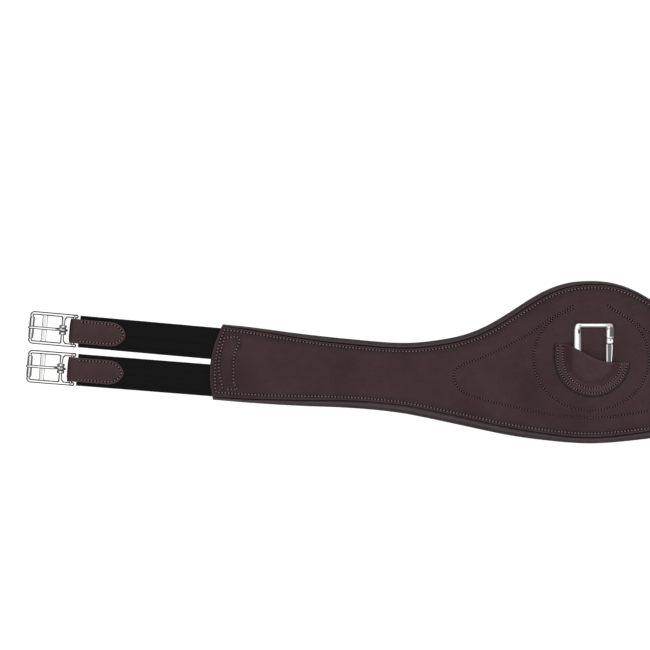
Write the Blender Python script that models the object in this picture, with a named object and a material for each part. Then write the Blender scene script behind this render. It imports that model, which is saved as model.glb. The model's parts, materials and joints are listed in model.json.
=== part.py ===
"""Long elasticated saddle girth with a belly guard, laid flat with its face up.

Frame: metres, +Z up. X runs along the girth, +Y is the horse's front edge, and the origin is the middle
of the belly on the underside of the lining. The left end lies towards -X.

The girth is a sandwich: a soft lining tray with a rolled rim, a foam pad, a load-bearing web, a belly
stiffener and a face leather. Each end holds two elastic straps, and each strap ends in a folded leather
chape that carries a roller buckle. A pocket on the belly holds a gated snap hook on a leather keeper.

Real leather bends anywhere. Here each long layer is cut at two flex lines, one on each arm, and the cut
walls lean back so that the arms can turn both ways.
"""

import math

import bmesh
import bpy
from mathutils import Matrix, Vector

MM = 0.001
GAP = 0.3 * MM  # clearance left between neighbouring solids

# ---------------------------------------------------------------- driving dimensions
# Outline of one half: distance from the middle along X, and height of each edge above the centre line.
FRONT_EDGE = [
    (0, 89.6), (22, 88.1), (45, 81.2), (67, 69.4), (89, 54.9), (111, 41.6),
    (133, 31.8), (160, 25.2), (205, 20.6), (266, 25.0), (322, 31.0), (377, 38.3), (408, 41.4), (430, 43.4),
]
REAR_EDGE = [
    (0, -91.2), (40, -88.6), (90, -82.0), (155, -68.3), (211, -57.1), (266, -51.7),
    (322, -49.4), (377, -46.1), (418, -42.6), (430, -41.6),
]
ARM_SPREAD = 7  # points across each flat side of an arm's layers, which carry the rounded end
FRONT_CORNER_X = 407.7 * MM  # where the front edge meets the end
END_SLANT = 10.9 * MM  # how much further out the rear corner lies
END_SAGITTA = 8.2 * MM  # bulge of the rounded end
END_SHAPE_START = 330 * MM  # the end's slant and bulge fade in from here

# Layer heights above the underside.
LINING_THICKNESS = 1.2 * MM
RIM_HEIGHT = 8.0 * MM  # top of the rolled rim
RIM_HEIGHT_AT_END = 5.2 * MM
RIM_TAPER = (338 * MM, 372 * MM)
FLANGE_WIDTH = 12 * MM  # the turned-in top of the rim
WEB_WIDTH = 46 * MM
WEB_END_X = 398 * MM
FACE_THICKNESS = 2.5 * MM
FACE_BASE = RIM_HEIGHT + GAP
FACE_TOP = FACE_BASE + FACE_THICKNESS
FACE_INSET_FRONT = 5.8 * MM  # rim left showing beside the face leather
FACE_INSET_REAR = 7.0 * MM
FACE_BEVEL = 0.5 * MM
STIFFENER_THICKNESS = 1.2 * MM
STIFFENER_BASE = RIM_HEIGHT - LINING_THICKNESS - GAP - STIFFENER_THICKNESS
STIFFENER_TIP_X = 147 * MM

# The flex line of each arm.
FLEX_X = 215 * MM
FLEX_Z = 5.5 * MM
FLEX_HALF_ANGLE = math.radians(20.5)  # lean of each cut wall, so that an arm turns 40 degrees either way

# Straps: where each leaves the left end, and its angle to X. The right end mirrors them.
STRAP_ROOTS = {"front": (-418.5 * MM, 20.1 * MM, math.radians(5.1)),
               "rear": (-420.6 * MM, -20.9 * MM, math.radians(4.5))}
ELASTIC_WIDTH = 35.4 * MM
ELASTIC_THICKNESS = 2.4 * MM
ELASTIC_Z = 6.7 * MM  # middle of the elastic
TAIL_LENGTH = 36 * MM  # elastic sewn inside the end
STRAP_FLEX = 4.5 * MM  # flex line of a strap, outwards from its root
ELASTIC_END = 149.2 * MM  # distances from here on are measured from the root, outwards

# Chape: leather folded round the buckle's rear bar.
CHAPE_TIP = 97.3 * MM
CHAPE_TIP_LENGTH = 18.3 * MM
CHAPE_WIDTH = 27.2 * MM
PLY = 2.0 * MM

# Buckle.
BUCKLE_WIDTH = 35.8 * MM
WIRE = 1.7 * MM  # radius of the frame's wire
REAR_BAR = 155.5 * MM
TONGUE_BAR = 167.5 * MM
GUIDE_BAR = 188.0 * MM
END_BAR = 202.2 * MM
ARM_TIP = 150.9 * MM
CORNER_RADIUS = 4.2 * MM
CORNER_REACH = 0.9 * MM  # the corners stand this much further out than the end bar
TIP_RADIUS = 2.3 * MM
GUIDE_BAR_WIDTH = 5.9 * MM
GUIDE_BAR_BOTTOM = -1.3 * MM
GUIDE_BAR_TOP = 0.9 * MM
ROLLER_RADIUS = 2.95 * MM
ROLLER_LENGTH = 23.4 * MM
BORE_RADIUS = 1.98 * MM  # roller and tongue coil, running on the wire
TONGUE_TIP = 206.2 * MM
COIL_RADIUS = 3.7 * MM
COIL_LENGTH = 10.6 * MM

# Pocket on the belly: a U-shaped patch, open along its slanting mouth.
POCKET_CENTRE = (2.4 * MM, 3.3 * MM)
POCKET_RADIUS = 42 * MM
POCKET_LEATHER = 1.8 * MM
POCKET_SEAM = 9.4 * MM  # width of the sewn margin
POCKET_RISE = 6.5 * MM  # room under the patch
POCKET_RISE_RUN = 9.0 * MM
POCKET_HIGH_SIDE = 19.4 * MM
POCKET_LOW_SIDE = -0.6 * MM
MOUTH_SPAN = (-26 * MM, 22 * MM)  # where the mouth's edge falls from its high to its low side

# Snap hook, lying in the pocket.
SNAP_Z = 14.2 * MM
SNAP_BAR_Y = -12.2 * MM
SNAP_BAR_RADIUS = 1.6 * MM
GATE_PIN = (20.7 * MM, -2.6 * MM)
GATE_TOP_Y = 19.1 * MM
GATE_PIN_RADIUS = 0.9 * MM
GATE_HOLE_RADIUS = 1.2 * MM
KEEPER_WIDTH = 16 * MM
KEEPER_PLY = 1.2 * MM
KEEPER_END_Y = -24 * MM

# ---------------------------------------------------------------- materials
MATERIALS = {
    "face_leather": ((0.054, 0.032, 0.034), 0.55, 0.0),
    "lining_leather": ((0.045, 0.029, 0.030), 0.50, 0.0),
    "foam": ((0.10, 0.10, 0.10), 0.95, 0.0),
    "webbing": ((0.03, 0.03, 0.03), 0.85, 0.0),
    "stiffener": ((0.20, 0.18, 0.15), 0.70, 0.0),
    "elastic": ((0.013, 0.012, 0.013), 0.85, 0.0),
    "steel": ((0.62, 0.60, 0.58), 0.18, 1.0),
}


def material(name):
    """The named Principled BSDF material, made on first use."""
    if name in bpy.data.materials:
        return bpy.data.materials[name]
    colour, roughness, metallic = MATERIALS[name]
    made = bpy.data.materials.new(name)
    made.use_nodes = True
    shader = made.node_tree.nodes["Principled BSDF"]
    shader.inputs["Base Color"].default_value = (*colour, 1.0)
    shader.inputs["Roughness"].default_value = roughness
    shader.inputs["Metallic"].default_value = metallic
    return made


# ---------------------------------------------------------------- mesh helpers
def smoothstep(value, low, high):
    """0 below low, 1 above high, and an S-shaped rise between."""
    t = min(max((value - low) / (high - low), 0.0), 1.0)
    return t * t * (3 - 2 * t)


def curve_through(points):
    """A function y(x), in metres, that passes smoothly through points given in millimetres."""
    xs = [p[0] * MM for p in points]
    ys = [p[1] * MM for p in points]
    last = len(xs) - 1
    slopes = []
    for i in range(len(xs)):
        before, after = max(i - 1, 0), min(i + 1, last)
        slopes.append((ys[after] - ys[before]) / (xs[after] - xs[before]))
    slopes[0] = 0.0  # the two halves of the girth meet without a kink

    def value(x):
        i = max(k for k in range(last) if xs[k] <= x or k == 0)
        span = xs[i + 1] - xs[i]
        t = (x - xs[i]) / span
        rise = t * t * (3 - 2 * t)
        return (ys[i] * (1 - rise) + ys[i + 1] * rise
                + span * (slopes[i] * t * (1 - t) ** 2 - slopes[i + 1] * t * t * (1 - t)))

    return value


front_edge = curve_through(FRONT_EDGE)
rear_edge = curve_through(REAR_EDGE)


def make_object(name, mesh, material_name, parent=None):
    """Links a mesh to the scene as a named object. With a parent, the mesh is in the parent's space."""
    made = bpy.data.objects.new(name, mesh)
    made.parent = parent
    bpy.context.scene.collection.objects.link(made)
    mesh.materials.clear()
    mesh.materials.append(material(material_name))
    return made


def empty(name, location, parent=None, turn=0.0):
    """An empty on a joint's axis, turned about Z."""
    made = bpy.data.objects.new(name, None)
    made.location = location
    made.rotation_euler = (0, 0, turn)
    made.parent = parent
    made.empty_display_size = 0.01
    bpy.context.scene.collection.objects.link(made)
    bpy.context.view_layer.update()
    return made


def finish_mesh(bm, name, smooth_angle=40):
    """Turns a bmesh into a mesh with outward normals, smooth but for its sharp edges."""
    bmesh.ops.recalc_face_normals(bm, faces=bm.faces)
    if bm.calc_volume(signed=True) < 0:
        bmesh.ops.reverse_faces(bm, faces=bm.faces)
    mesh = bpy.data.meshes.new(name)
    bm.to_mesh(mesh)
    bm.free()
    mesh.shade_smooth()
    mesh.set_sharp_from_angle(angle=math.radians(smooth_angle))
    return mesh


def loft(name, rings, closed=False, paired=False):
    """A solid through rings of points, capped at both ends unless it closes on itself.

    A paired ring runs out along one side of a thin wall and back along the other, and its caps are strips
    of quads between the two sides.
    """
    bm = bmesh.new()
    loops = [[bm.verts.new(p) for p in ring] for ring in rings]
    size = len(rings[0])
    pairs = list(zip(loops, loops[1:]))
    if closed:
        pairs.append((loops[-1], loops[0]))
    for low, high in pairs:
        for k in range(size):
            n = (k + 1) % size
            bm.faces.new((low[k], low[n], high[n], high[k]))
    for cap in (loops[0], loops[-1]):
        if paired:
            for k in range(size // 2 - 1):
                bm.faces.new((cap[k], cap[k + 1], cap[-2 - k], cap[-1 - k]))
        elif not closed:
            bmesh.ops.triangulate(bm, faces=[bm.faces.new(cap)])
    return finish_mesh(bm, name)


def prism(name, outline, low, high):
    """An upright prism over a plan outline of (x, y) points."""
    return loft(name, [[(x, y, low) for x, y in outline], [(x, y, high) for x, y in outline]])


def ellipse_ring(centre, across, up, half_width, half_height, count=10, squareness=1.0):
    """A ring round centre, spanned by two directions. Squareness under 1 fills its corners out."""
    ring = []
    for k in range(count):
        angle = 2 * math.pi * (k + 0.5) / count
        c, s = math.cos(angle), math.sin(angle)
        wide = math.copysign(abs(c) ** squareness, c) * half_width
        tall = math.copysign(abs(s) ** squareness, s) * half_height
        ring.append(Vector(centre) + Vector(across) * wide + Vector(up) * tall)
    return ring


def swept_bar(name, stations, up=(0, 0, 1), count=10, squareness=1.0):
    """A bar through stations of (centre, half width, half height), in a plane square to up."""
    rings = []
    for i, (centre, half_width, half_height) in enumerate(stations):
        before = Vector(stations[max(i - 1, 0)][0])
        after = Vector(stations[min(i + 1, len(stations) - 1)][0])
        across = (after - before).normalized().cross(Vector(up))
        rings.append(ellipse_ring(centre, across, up, half_width, half_height, count, squareness))
    return loft(name, rings)


def cylinder(name, radius, start, end, count=16):
    """A round bar from start to end."""
    start, end = Vector(start), Vector(end)
    along = (end - start).normalized()
    across = along.orthogonal().normalized()
    up = along.cross(across)
    return loft(name, [ellipse_ring(p, across, up, radius, radius, count) for p in (start, end)])


def combine(name, base, others, operation="UNION"):
    """The mesh that a chain of Booleans makes from base and the other meshes."""
    body = bpy.data.objects.new("combining", base)
    bpy.context.scene.collection.objects.link(body)
    helpers = []
    for other in others:
        helper = bpy.data.objects.new("combining_with", other)
        bpy.context.scene.collection.objects.link(helper)
        helpers.append(helper)
        modifier = body.modifiers.new("combine", "BOOLEAN")
        modifier.operation = operation
        modifier.object = helper
    graph = bpy.context.evaluated_depsgraph_get()
    made = bpy.data.meshes.new_from_object(body.evaluated_get(graph))
    made.name = name
    for helper in [body, *helpers]:
        bpy.data.objects.remove(helper)
    made.shade_smooth()
    made.set_sharp_from_angle(angle=math.radians(40))
    return made


def arc(centre, radius, start, end, count):
    """Points (x, y) on an arc, with angles in degrees, both ends included."""
    points = []
    for k in range(count + 1):
        angle = math.radians(start + (end - start) * k / count)
        points.append((centre[0] + radius * math.cos(angle), centre[1] + radius * math.sin(angle)))
    return points


# ---------------------------------------------------------------- the padded body
def end_share(x):
    """How much of the end's slant and bulge applies at distance x from the middle."""
    t = max(x - END_SHAPE_START, 0.0) / (FRONT_CORNER_X - END_SHAPE_START)
    return t * t


def rim_height(x):
    """Height of the rolled rim, which thins where the elastic enters."""
    drop = RIM_HEIGHT - RIM_HEIGHT_AT_END
    return RIM_HEIGHT - drop * smoothstep(abs(x), *RIM_TAPER)


def body_point(x, inset_front=None, inset_rear=None, offset=0.0, share=None):
    """A point (x, y) of the station at signed distance x from the middle.

    It lies inset_front in from the front edge, or inset_rear in from the rear edge, or a share of the way
    from front to rear, or offset to the front of the station's middle. Insets are square to the edge.
    """
    side, far = math.copysign(1.0, x), abs(x)
    shaping = end_share(far)
    rear_x = far + END_SLANT * shaping
    front = Vector((far, front_edge(far)))
    rear = Vector((rear_x, rear_edge(rear_x)))
    width = (front - rear).length
    step = 1 * MM
    if inset_front is not None:
        slope = (front_edge(far + step) - front_edge(far)) / step
        v = inset_front * math.hypot(1, slope) / width
    elif inset_rear is not None:
        slope = (rear_edge(rear_x + step) - rear_edge(rear_x)) / step
        v = 1 - inset_rear * math.hypot(1, slope) / width
    else:
        v = 0.5 - offset / width if share is None else share
    point = front.lerp(rear, v)
    point.x += END_SAGITTA * shaping * 4 * v * (1 - v)
    return side * point.x, point.y


def flex_setback(z):
    """How far a cut wall lies from the flex line at height z."""
    return GAP / 2 + abs(z - FLEX_Z) * math.tan(FLEX_HALF_ANGLE)


def layer_rings(section, low, high, step=15 * MM):
    """Rings of a body layer from station low to station high, both signed.

    section(x, spread) lists (z, keyword arguments of body_point). A ring on a flex line follows its
    leaning wall. A layer that reaches past the flex line is an arm's, and carries points across its width.
    """
    spread = ARM_SPREAD if max(abs(low), abs(high)) > 1.01 * FLEX_X else 0
    count = max(round((high - low) / step), 2)
    rings = []
    for i in range(count + 1):
        x = low + (high - low) * i / count
        at_flex = math.isclose(abs(x), FLEX_X, abs_tol=1e-6)
        inward = 1 if i == 0 else -1
        ring = []
        for z, where in section(x, spread):
            px, py = body_point(x, **where)
            if at_flex:
                px += inward * flex_setback(z)
            ring.append((px, py, z))
        rings.append(ring)
    return rings


def half_round(height, base, inset, radius, edge, steps=4):
    """(z, where) pairs round one rolled edge, from its top to its bottom."""
    pairs = []
    for k in range(steps + 1):
        angle = math.pi / 2 - math.pi * k / steps
        z = base + height / 2 + height / 2 * math.sin(angle)
        pairs.append((z, {edge: inset + radius * (1 - math.cos(angle))}))
    return pairs


def across(z, spread):
    """(z, where) pairs spread evenly over a flat side, from front to rear."""
    return [(z, {"share": (k + 1) / (spread + 1)}) for k in range(spread)]


def lining_section(x, spread):
    """The lining's tray: a thin C with rolled sides and turned-in flanges."""
    height = rim_height(x)
    radius = RIM_HEIGHT / 2
    inner = radius - LINING_THICKNESS
    top_in = height - LINING_THICKNESS
    ring = [(height, {"inset_front": FLANGE_WIDTH})]
    ring += half_round(height, 0, 0, radius, "inset_front")
    ring += across(0, spread)
    ring += reversed(half_round(height, 0, 0, radius, "inset_rear"))
    ring += [(height, {"inset_rear": FLANGE_WIDTH}), (top_in, {"inset_rear": FLANGE_WIDTH})]
    thin = height - 2 * LINING_THICKNESS
    ring += half_round(thin, LINING_THICKNESS, LINING_THICKNESS, inner, "inset_rear")
    ring += reversed(across(LINING_THICKNESS, spread))
    ring += reversed(half_round(thin, LINING_THICKNESS, LINING_THICKNESS, inner, "inset_front"))
    ring += [(top_in, {"inset_front": FLANGE_WIDTH})]
    return ring


def foam_section(x, spread):
    """The foam pad, filling the tray under its flanges."""
    wall = LINING_THICKNESS + GAP
    height = rim_height(x) - 2 * wall
    radius = RIM_HEIGHT / 2 - wall
    front = half_round(height, wall, wall, radius, "inset_front")
    rear = half_round(height, wall, wall, radius, "inset_rear")
    return [*front, *across(wall, spread), *reversed(rear), *reversed(across(wall + height, spread))]


def web_section(x, spread):
    """The load-bearing web, flat on the foam between the flanges."""
    top = rim_height(x)
    half = WEB_WIDTH / 2
    return [(top, {"offset": half}), (top - LINING_THICKNESS, {"offset": half}),
            (top - LINING_THICKNESS, {"offset": -half}), (top, {"offset": -half})]


def face_section(x, spread):
    """The face leather, with eased upper edges."""
    front, rear = FACE_INSET_FRONT, FACE_INSET_REAR
    side = FACE_TOP - FACE_BEVEL
    ring = [(FACE_TOP, {"inset_front": front + FACE_BEVEL}), (side, {"inset_front": front})]
    ring += [(FACE_BASE, {"inset_front": front}), *across(FACE_BASE, spread)]
    ring += [(FACE_BASE, {"inset_rear": rear})]
    ring += [(side, {"inset_rear": rear}), (FACE_TOP, {"inset_rear": rear + FACE_BEVEL})]
    return ring + list(reversed(across(FACE_TOP, spread)))


def stiffener_outline(margin=0.0):
    """Plan of the belly stiffener: a leaf whose tips point along the arms."""
    top, bottom = [], []
    count = 24
    tip = STIFFENER_TIP_X + margin
    for i in range(count + 1):
        x = -tip + 2 * tip * i / count
        share = math.sqrt(max(1 - (x / tip) ** 2, 0))
        middle = -18 * MM * (x / tip) ** 2
        top.append((x, middle + (54 * MM + margin) * share ** 1.6))
        bottom.append((x, middle - (56 * MM + margin) * share ** 1.2))
    return top + bottom[-2:0:-1]


def build_body(arms):
    """The long layers, each cut at the flex lines into a belly piece and two arm pieces."""
    layers = [("lining", lining_section, FRONT_CORNER_X, "lining_leather"),
              ("foam_pad", foam_section, FRONT_CORNER_X - 3 * MM, "foam"),
              ("web", web_section, WEB_END_X, "webbing"),
              ("face", face_section, FRONT_CORNER_X, "face_leather")]
    for layer, section, end, slot in layers:
        mesh = loft(f"{layer}_belly", layer_rings(section, -FLEX_X, FLEX_X), paired=layer == "lining")
        if layer == "foam_pad":
            recess = prism("recess", stiffener_outline(GAP), STIFFENER_BASE - GAP, RIM_HEIGHT)
            mesh = combine("foam_pad_belly", mesh, [recess], "DIFFERENCE")
        make_object(f"{layer}_belly", mesh, slot)
        for side, arm in arms.items():
            low, high = (-end, -FLEX_X) if side == "left" else (FLEX_X, end)
            mesh = loft(f"{layer}_{side}_arm", layer_rings(section, low, high), paired=layer == "lining")
            mesh.transform(arm.matrix_world.inverted())
            make_object(f"{layer}_{side}_arm", mesh, slot, arm)
    plate_top = STIFFENER_BASE + STIFFENER_THICKNESS
    plate = prism("belly_stiffener", stiffener_outline(), STIFFENER_BASE, plate_top)
    make_object("belly_stiffener", plate, "stiffener")


# ---------------------------------------------------------------- straps and buckles
# Each piece below is modelled in its strap's own space: X outwards along the strap, Y across, Z up, with
# the origin on the piece's joint axis. One mesh serves all four straps.
def elastic_tail_mesh():
    """The elastic sewn inside the girth's end."""
    half = ELASTIC_WIDTH / 2
    near, far = -TAIL_LENGTH - STRAP_FLEX, -ELASTIC_THICKNESS / 2 - GAP
    outline = [(near, -half), (far, -half), (far, half), (near, half)]
    return prism("elastic_tail", outline, -ELASTIC_THICKNESS / 2, ELASTIC_THICKNESS / 2)


def elastic_run_mesh():
    """The free elastic: a flat band with a rounded root on the flex axis."""
    radius = ELASTIC_THICKNESS / 2
    section = [(x, z) for x, z in arc((0, 0), radius, 90, 270, 6)]
    end = ELASTIC_END - STRAP_FLEX
    section += [(end, -radius), (end, radius)]
    half = ELASTIC_WIDTH / 2
    return loft("elastic_run", [[(x, y, z) for x, z in section] for y in (-half, half)])


def folded_strap(name, path, ply, half_width_at):
    """A strap of even thickness along a path of (x, z) points, with its own half width at each."""
    rings = []
    for i, (x, z) in enumerate(path):
        before, after = path[max(i - 1, 0)], path[min(i + 1, len(path) - 1)]
        along = Vector((after[0] - before[0], after[1] - before[1])).normalized()
        off_x, off_z = -along.y * ply / 2, along.x * ply / 2
        w = half_width_at(x, z)
        rings.append([(x + off_x, -w, z + off_z), (x + off_x, w, z + off_z),
                      (x - off_x, w, z - off_z), (x - off_x, -w, z - off_z)])
    return loft(name, rings)


def chape_mesh():
    """Leather folded round the rear bar, with both plies cut to a rounded point."""
    bar = REAR_BAR - STRAP_FLEX
    tip = CHAPE_TIP - STRAP_FLEX
    flat_z = ELASTIC_THICKNESS / 2 + GAP + PLY / 2
    loop_radius = WIRE + GAP + PLY / 2
    full = tip + CHAPE_TIP_LENGTH
    steps = 7
    tip_points = [tip + CHAPE_TIP_LENGTH * (1 - math.cos(math.pi / 2 * k / steps)) for k in range(steps + 1)]
    upper = [(x, flat_z) for x in tip_points]
    upper += [(bar - 9 * MM, flat_z), (bar - 4 * MM, loop_radius - 0.15 * MM)]
    lower = [(x, -z) for x, z in reversed(upper)]
    loop = arc((bar, 0), loop_radius, 90, -90, 8)

    def half_width(x, z):
        if x >= full:
            return CHAPE_WIDTH / 2
        share = (full - x) / CHAPE_TIP_LENGTH
        return max(CHAPE_WIDTH / 2 * math.sqrt(max(1 - share**2.2, 0)), 1.2 * MM)

    return folded_strap("chape", upper + loop + lower, PLY, half_width)


def frame_mesh():
    """The buckle frame: a bent wire with ball tips, crossed by a rear, a tongue and a guide bar."""
    end = END_BAR - REAR_BAR
    half = BUCKLE_WIDTH / 2 - WIRE
    tip = ARM_TIP - REAR_BAR + TIP_RADIUS
    turn = CORNER_RADIUS - WIRE / 2
    tips = [(-0.90, 0.40), (-0.55, 0.84), (0.0, 1.0), (0.7, 0.93)]
    arm = [((tip + at * TIP_RADIUS, -half, 0), TIP_RADIUS * size, TIP_RADIUS * size) for at, size in tips]
    arm.append(((tip + 4.5 * MM, -half, 0), WIRE, WIRE))
    shoulder = (end + CORNER_REACH - turn, -half + turn)
    corner = [((x, y, 0), WIRE, WIRE) for x, y in arc(shoulder, turn, -90, -12, 5)]
    corner.append(((end, -ROLLER_LENGTH / 2 - 0.35 * MM, 0), WIRE, WIRE))
    near = arm + corner
    far = [((x, -y, z), w, h) for (x, y, z), w, h in reversed(near)]
    wire = swept_bar("wire", near + far)

    bar = TONGUE_BAR - REAR_BAR
    flare = [(1.0, 3.6), (0.86, 3.0), (0.74, 1.9), (0.62, 1.7)]
    side = [((bar, -half * at, 0), width * MM, 1.55 * MM) for at, width in flare]
    other = [((x, -y, z), w, h) for (x, y, z), w, h in reversed(side)]
    tongue_bar = swept_bar("tongue_bar", side + other, count=12)

    rear_bar = cylinder("rear_bar", WIRE - 0.05 * MM, (0, -half, 0), (0, half, 0), 12)

    guide = GUIDE_BAR - REAR_BAR
    w, low, high = GUIDE_BAR_WIDTH / 2, GUIDE_BAR_BOTTOM, GUIDE_BAR_TOP
    section = [(guide - w, low), (guide + w, low), (guide + w, high - 0.9 * MM),
               (guide + w - 1.2 * MM, high), (guide - w + 1.2 * MM, high), (guide - w, high - 0.9 * MM)]
    guide_bar = loft("guide_bar", [[(x, y, z) for x, z in section] for y in (-half, half)])
    return combine("buckle_frame", wire, [rear_bar, tongue_bar, guide_bar])


def tube_mesh(name, profile, bore, count=16):
    """A turned tube about Y: profile lists (y, outer radius)."""
    ends = [(profile[-1][0], bore), (profile[0][0], bore)]
    rings = []
    for y, radius in [*profile, *ends]:
        angles = [2 * math.pi * k / count for k in range(count)]
        rings.append([(radius * math.cos(angle), y, radius * math.sin(angle)) for angle in angles])
    return loft(name, rings, closed=True)


def roller_mesh():
    """The roller on the end bar."""
    half, ease = ROLLER_LENGTH / 2, 0.4 * MM
    profile = [(-half, ROLLER_RADIUS - ease), (-half + ease, ROLLER_RADIUS),
               (half - ease, ROLLER_RADIUS), (half, ROLLER_RADIUS - ease)]
    return tube_mesh("roller", profile, BORE_RADIUS)


def tongue_mesh():
    """The tongue: three turns of wire round its bar, a shaft that rests on the roller, and a heel."""
    turns, valley = 3, 0.55 * MM
    pitch = COIL_LENGTH / turns
    profile = []
    for k in range(turns):
        start = -COIL_LENGTH / 2 + pitch * k
        for at, dip in ((0.06, 1), (0.3, 0.1), (0.7, 0.1)):
            profile.append((start + pitch * at, COIL_RADIUS - valley * dip))
    profile.append((COIL_LENGTH / 2 - 0.06 * pitch, COIL_RADIUS - valley))
    coil = tube_mesh("coil", profile, BORE_RADIUS)
    reach = TONGUE_TIP - TONGUE_BAR
    start_z = COIL_RADIUS - 1.35 * MM
    rest_z = ROLLER_RADIUS + 0.35 * MM + 1.25 * MM
    stations = [(0.4 * MM, start_z + 0.55 * MM, 1.7, 0.8), (3.5 * MM, start_z + 0.8 * MM, 1.6, 1.25),
                (9 * MM, rest_z - 0.3 * MM, 1.5, 1.25), (reach - 8 * MM, rest_z, 1.45, 1.25),
                (reach - 2 * MM, rest_z - 0.1 * MM, 1.3, 1.15), (reach, rest_z - 0.2 * MM, 0.7, 0.7)]
    shaft = swept_bar("shaft", [((x, 0, z), w * MM, h * MM) for x, z, w, h in stations])
    nub = [(-2.6, 0.4, 1.5, 1.2), (-4.6, 0.2, 1.4, 1.1), (-5.9, 0.1, 0.8, 0.7)]
    heel = swept_bar("heel", [((x * MM, 0, z * MM), w * MM, h * MM) for x, z, w, h in nub])
    return combine("tongue", coil, [shaft, heel])


def build_straps(arms):
    """Four straps, two on each arm, each with its tail, elastic, chape and buckle."""
    tail, run, chape = elastic_tail_mesh(), elastic_run_mesh(), chape_mesh()
    frame, roller, tongue = frame_mesh(), roller_mesh(), tongue_mesh()
    for side, arm in arms.items():
        mirrored = -1 if side == "right" else 1
        for row, (root_x, root_y, angle) in STRAP_ROOTS.items():
            label = f"{side}_{row}"
            turn = math.pi - angle if side == "left" else angle
            along = Vector((math.cos(turn), math.sin(turn), 0))
            flex = Vector((mirrored * root_x, root_y, ELASTIC_Z)) + along * STRAP_FLEX
            strap = empty(f"flex_{label}", flex - arm.location, arm, turn)
            chape_empty = empty(f"stretch_{label}", (0, 0, 0), strap)
            buckle = empty(f"swing_{label}", (REAR_BAR - STRAP_FLEX, 0, 0), chape_empty)
            tongue_empty = empty(f"pivot_{label}", (TONGUE_BAR - REAR_BAR, 0, 0), buckle)
            roller_empty = empty(f"spin_{label}", (END_BAR - REAR_BAR, 0, 0), buckle)
            sewn = empty(f"sewn_{label}", strap.location, arm, turn)
            make_object(f"elastic_tail_{label}", tail, "elastic", sewn)
            make_object(f"elastic_{label}", run, "elastic", strap)
            make_object(f"chape_{label}", chape, "face_leather", chape_empty)
            make_object(f"buckle_frame_{label}", frame, "steel", buckle)
            make_object(f"tongue_{label}", tongue, "steel", tongue_empty)
            make_object(f"roller_{label}", roller, "steel", roller_empty)


# ---------------------------------------------------------------- pocket and snap hook
def mouth_y(x):
    """Height of the pocket's slanting mouth at x."""
    t = min(max((x - MOUTH_SPAN[0]) / (MOUTH_SPAN[1] - MOUTH_SPAN[0]), 0.0), 1.0)
    fall = 0.5 * (t * t * (3 - 2 * t)) + 0.5 * (1 - (1 - t) ** 2)
    return POCKET_HIGH_SIDE + (POCKET_LOW_SIDE - POCKET_HIGH_SIDE) * fall


def pocket_edge():
    """The sewn U, from its high corner round to its low corner, as (x, y) points."""
    cx, cy = POCKET_CENTRE
    low_angle = math.degrees(math.asin((POCKET_LOW_SIDE - cy) / POCKET_RADIUS))
    side = [(cx - POCKET_RADIUS, POCKET_HIGH_SIDE + (cy - POCKET_HIGH_SIDE) * k / 3) for k in range(3)]
    return side + arc(POCKET_CENTRE, POCKET_RADIUS, 180, 360 + low_angle, 25)


def pocket_rise(x, y):
    """How far the patch bulges off the belly at a point of its plan."""
    cx, cy = POCKET_CENTRE
    from_edge = POCKET_RADIUS - (math.hypot(x - cx, y - cy) if y < cy else abs(x - cx))
    t = min(max((from_edge - POCKET_SEAM) / POCKET_RISE_RUN, 0.0), 1.0)
    return POCKET_RISE * (1 - (1 - t) ** 2)


def build_pocket():
    """The patch: a ruled sheet from its sewn U to its mouth, with a layer below at leather thickness."""
    edge = pocket_edge()
    last = len(edge) - 1
    rows = 9
    bm = bmesh.new()
    base = FACE_TOP + GAP
    sheets = []
    for lift in (POCKET_LEATHER, 0.0):
        sheet = []
        for i, (ex, ey) in enumerate(edge):
            mx = edge[0][0] + (edge[-1][0] - edge[0][0]) * i / last
            my = mouth_y(mx)
            steps = 1 if i in (0, last) else rows
            column = []
            for j in range(steps):
                share = j / max(rows - 1, 1)
                x, y = ex + (mx - ex) * share, ey + (my - ey) * share
                column.append(bm.verts.new((x, y, base + pocket_rise(x, y) + lift)))
            sheet.append(column * rows if steps == 1 else column)
        sheets.append(sheet)

    def quad(a, b, c, d):
        corners = [v for k, v in enumerate((a, b, c, d)) if v not in (a, b, c, d)[:k]]
        bm.faces.new(corners)

    for sheet in sheets:
        for left, right in zip(sheet, sheet[1:]):
            for j in range(rows - 1):
                quad(left[j], left[j + 1], right[j + 1], right[j])
    upper, lower = sheets
    for i in range(last):
        for j in (0, rows - 1):
            quad(upper[i][j], upper[i + 1][j], lower[i + 1][j], lower[i][j])
    make_object("snap_pocket", finish_mesh(bm, "snap_pocket", 60), "face_leather")


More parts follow.
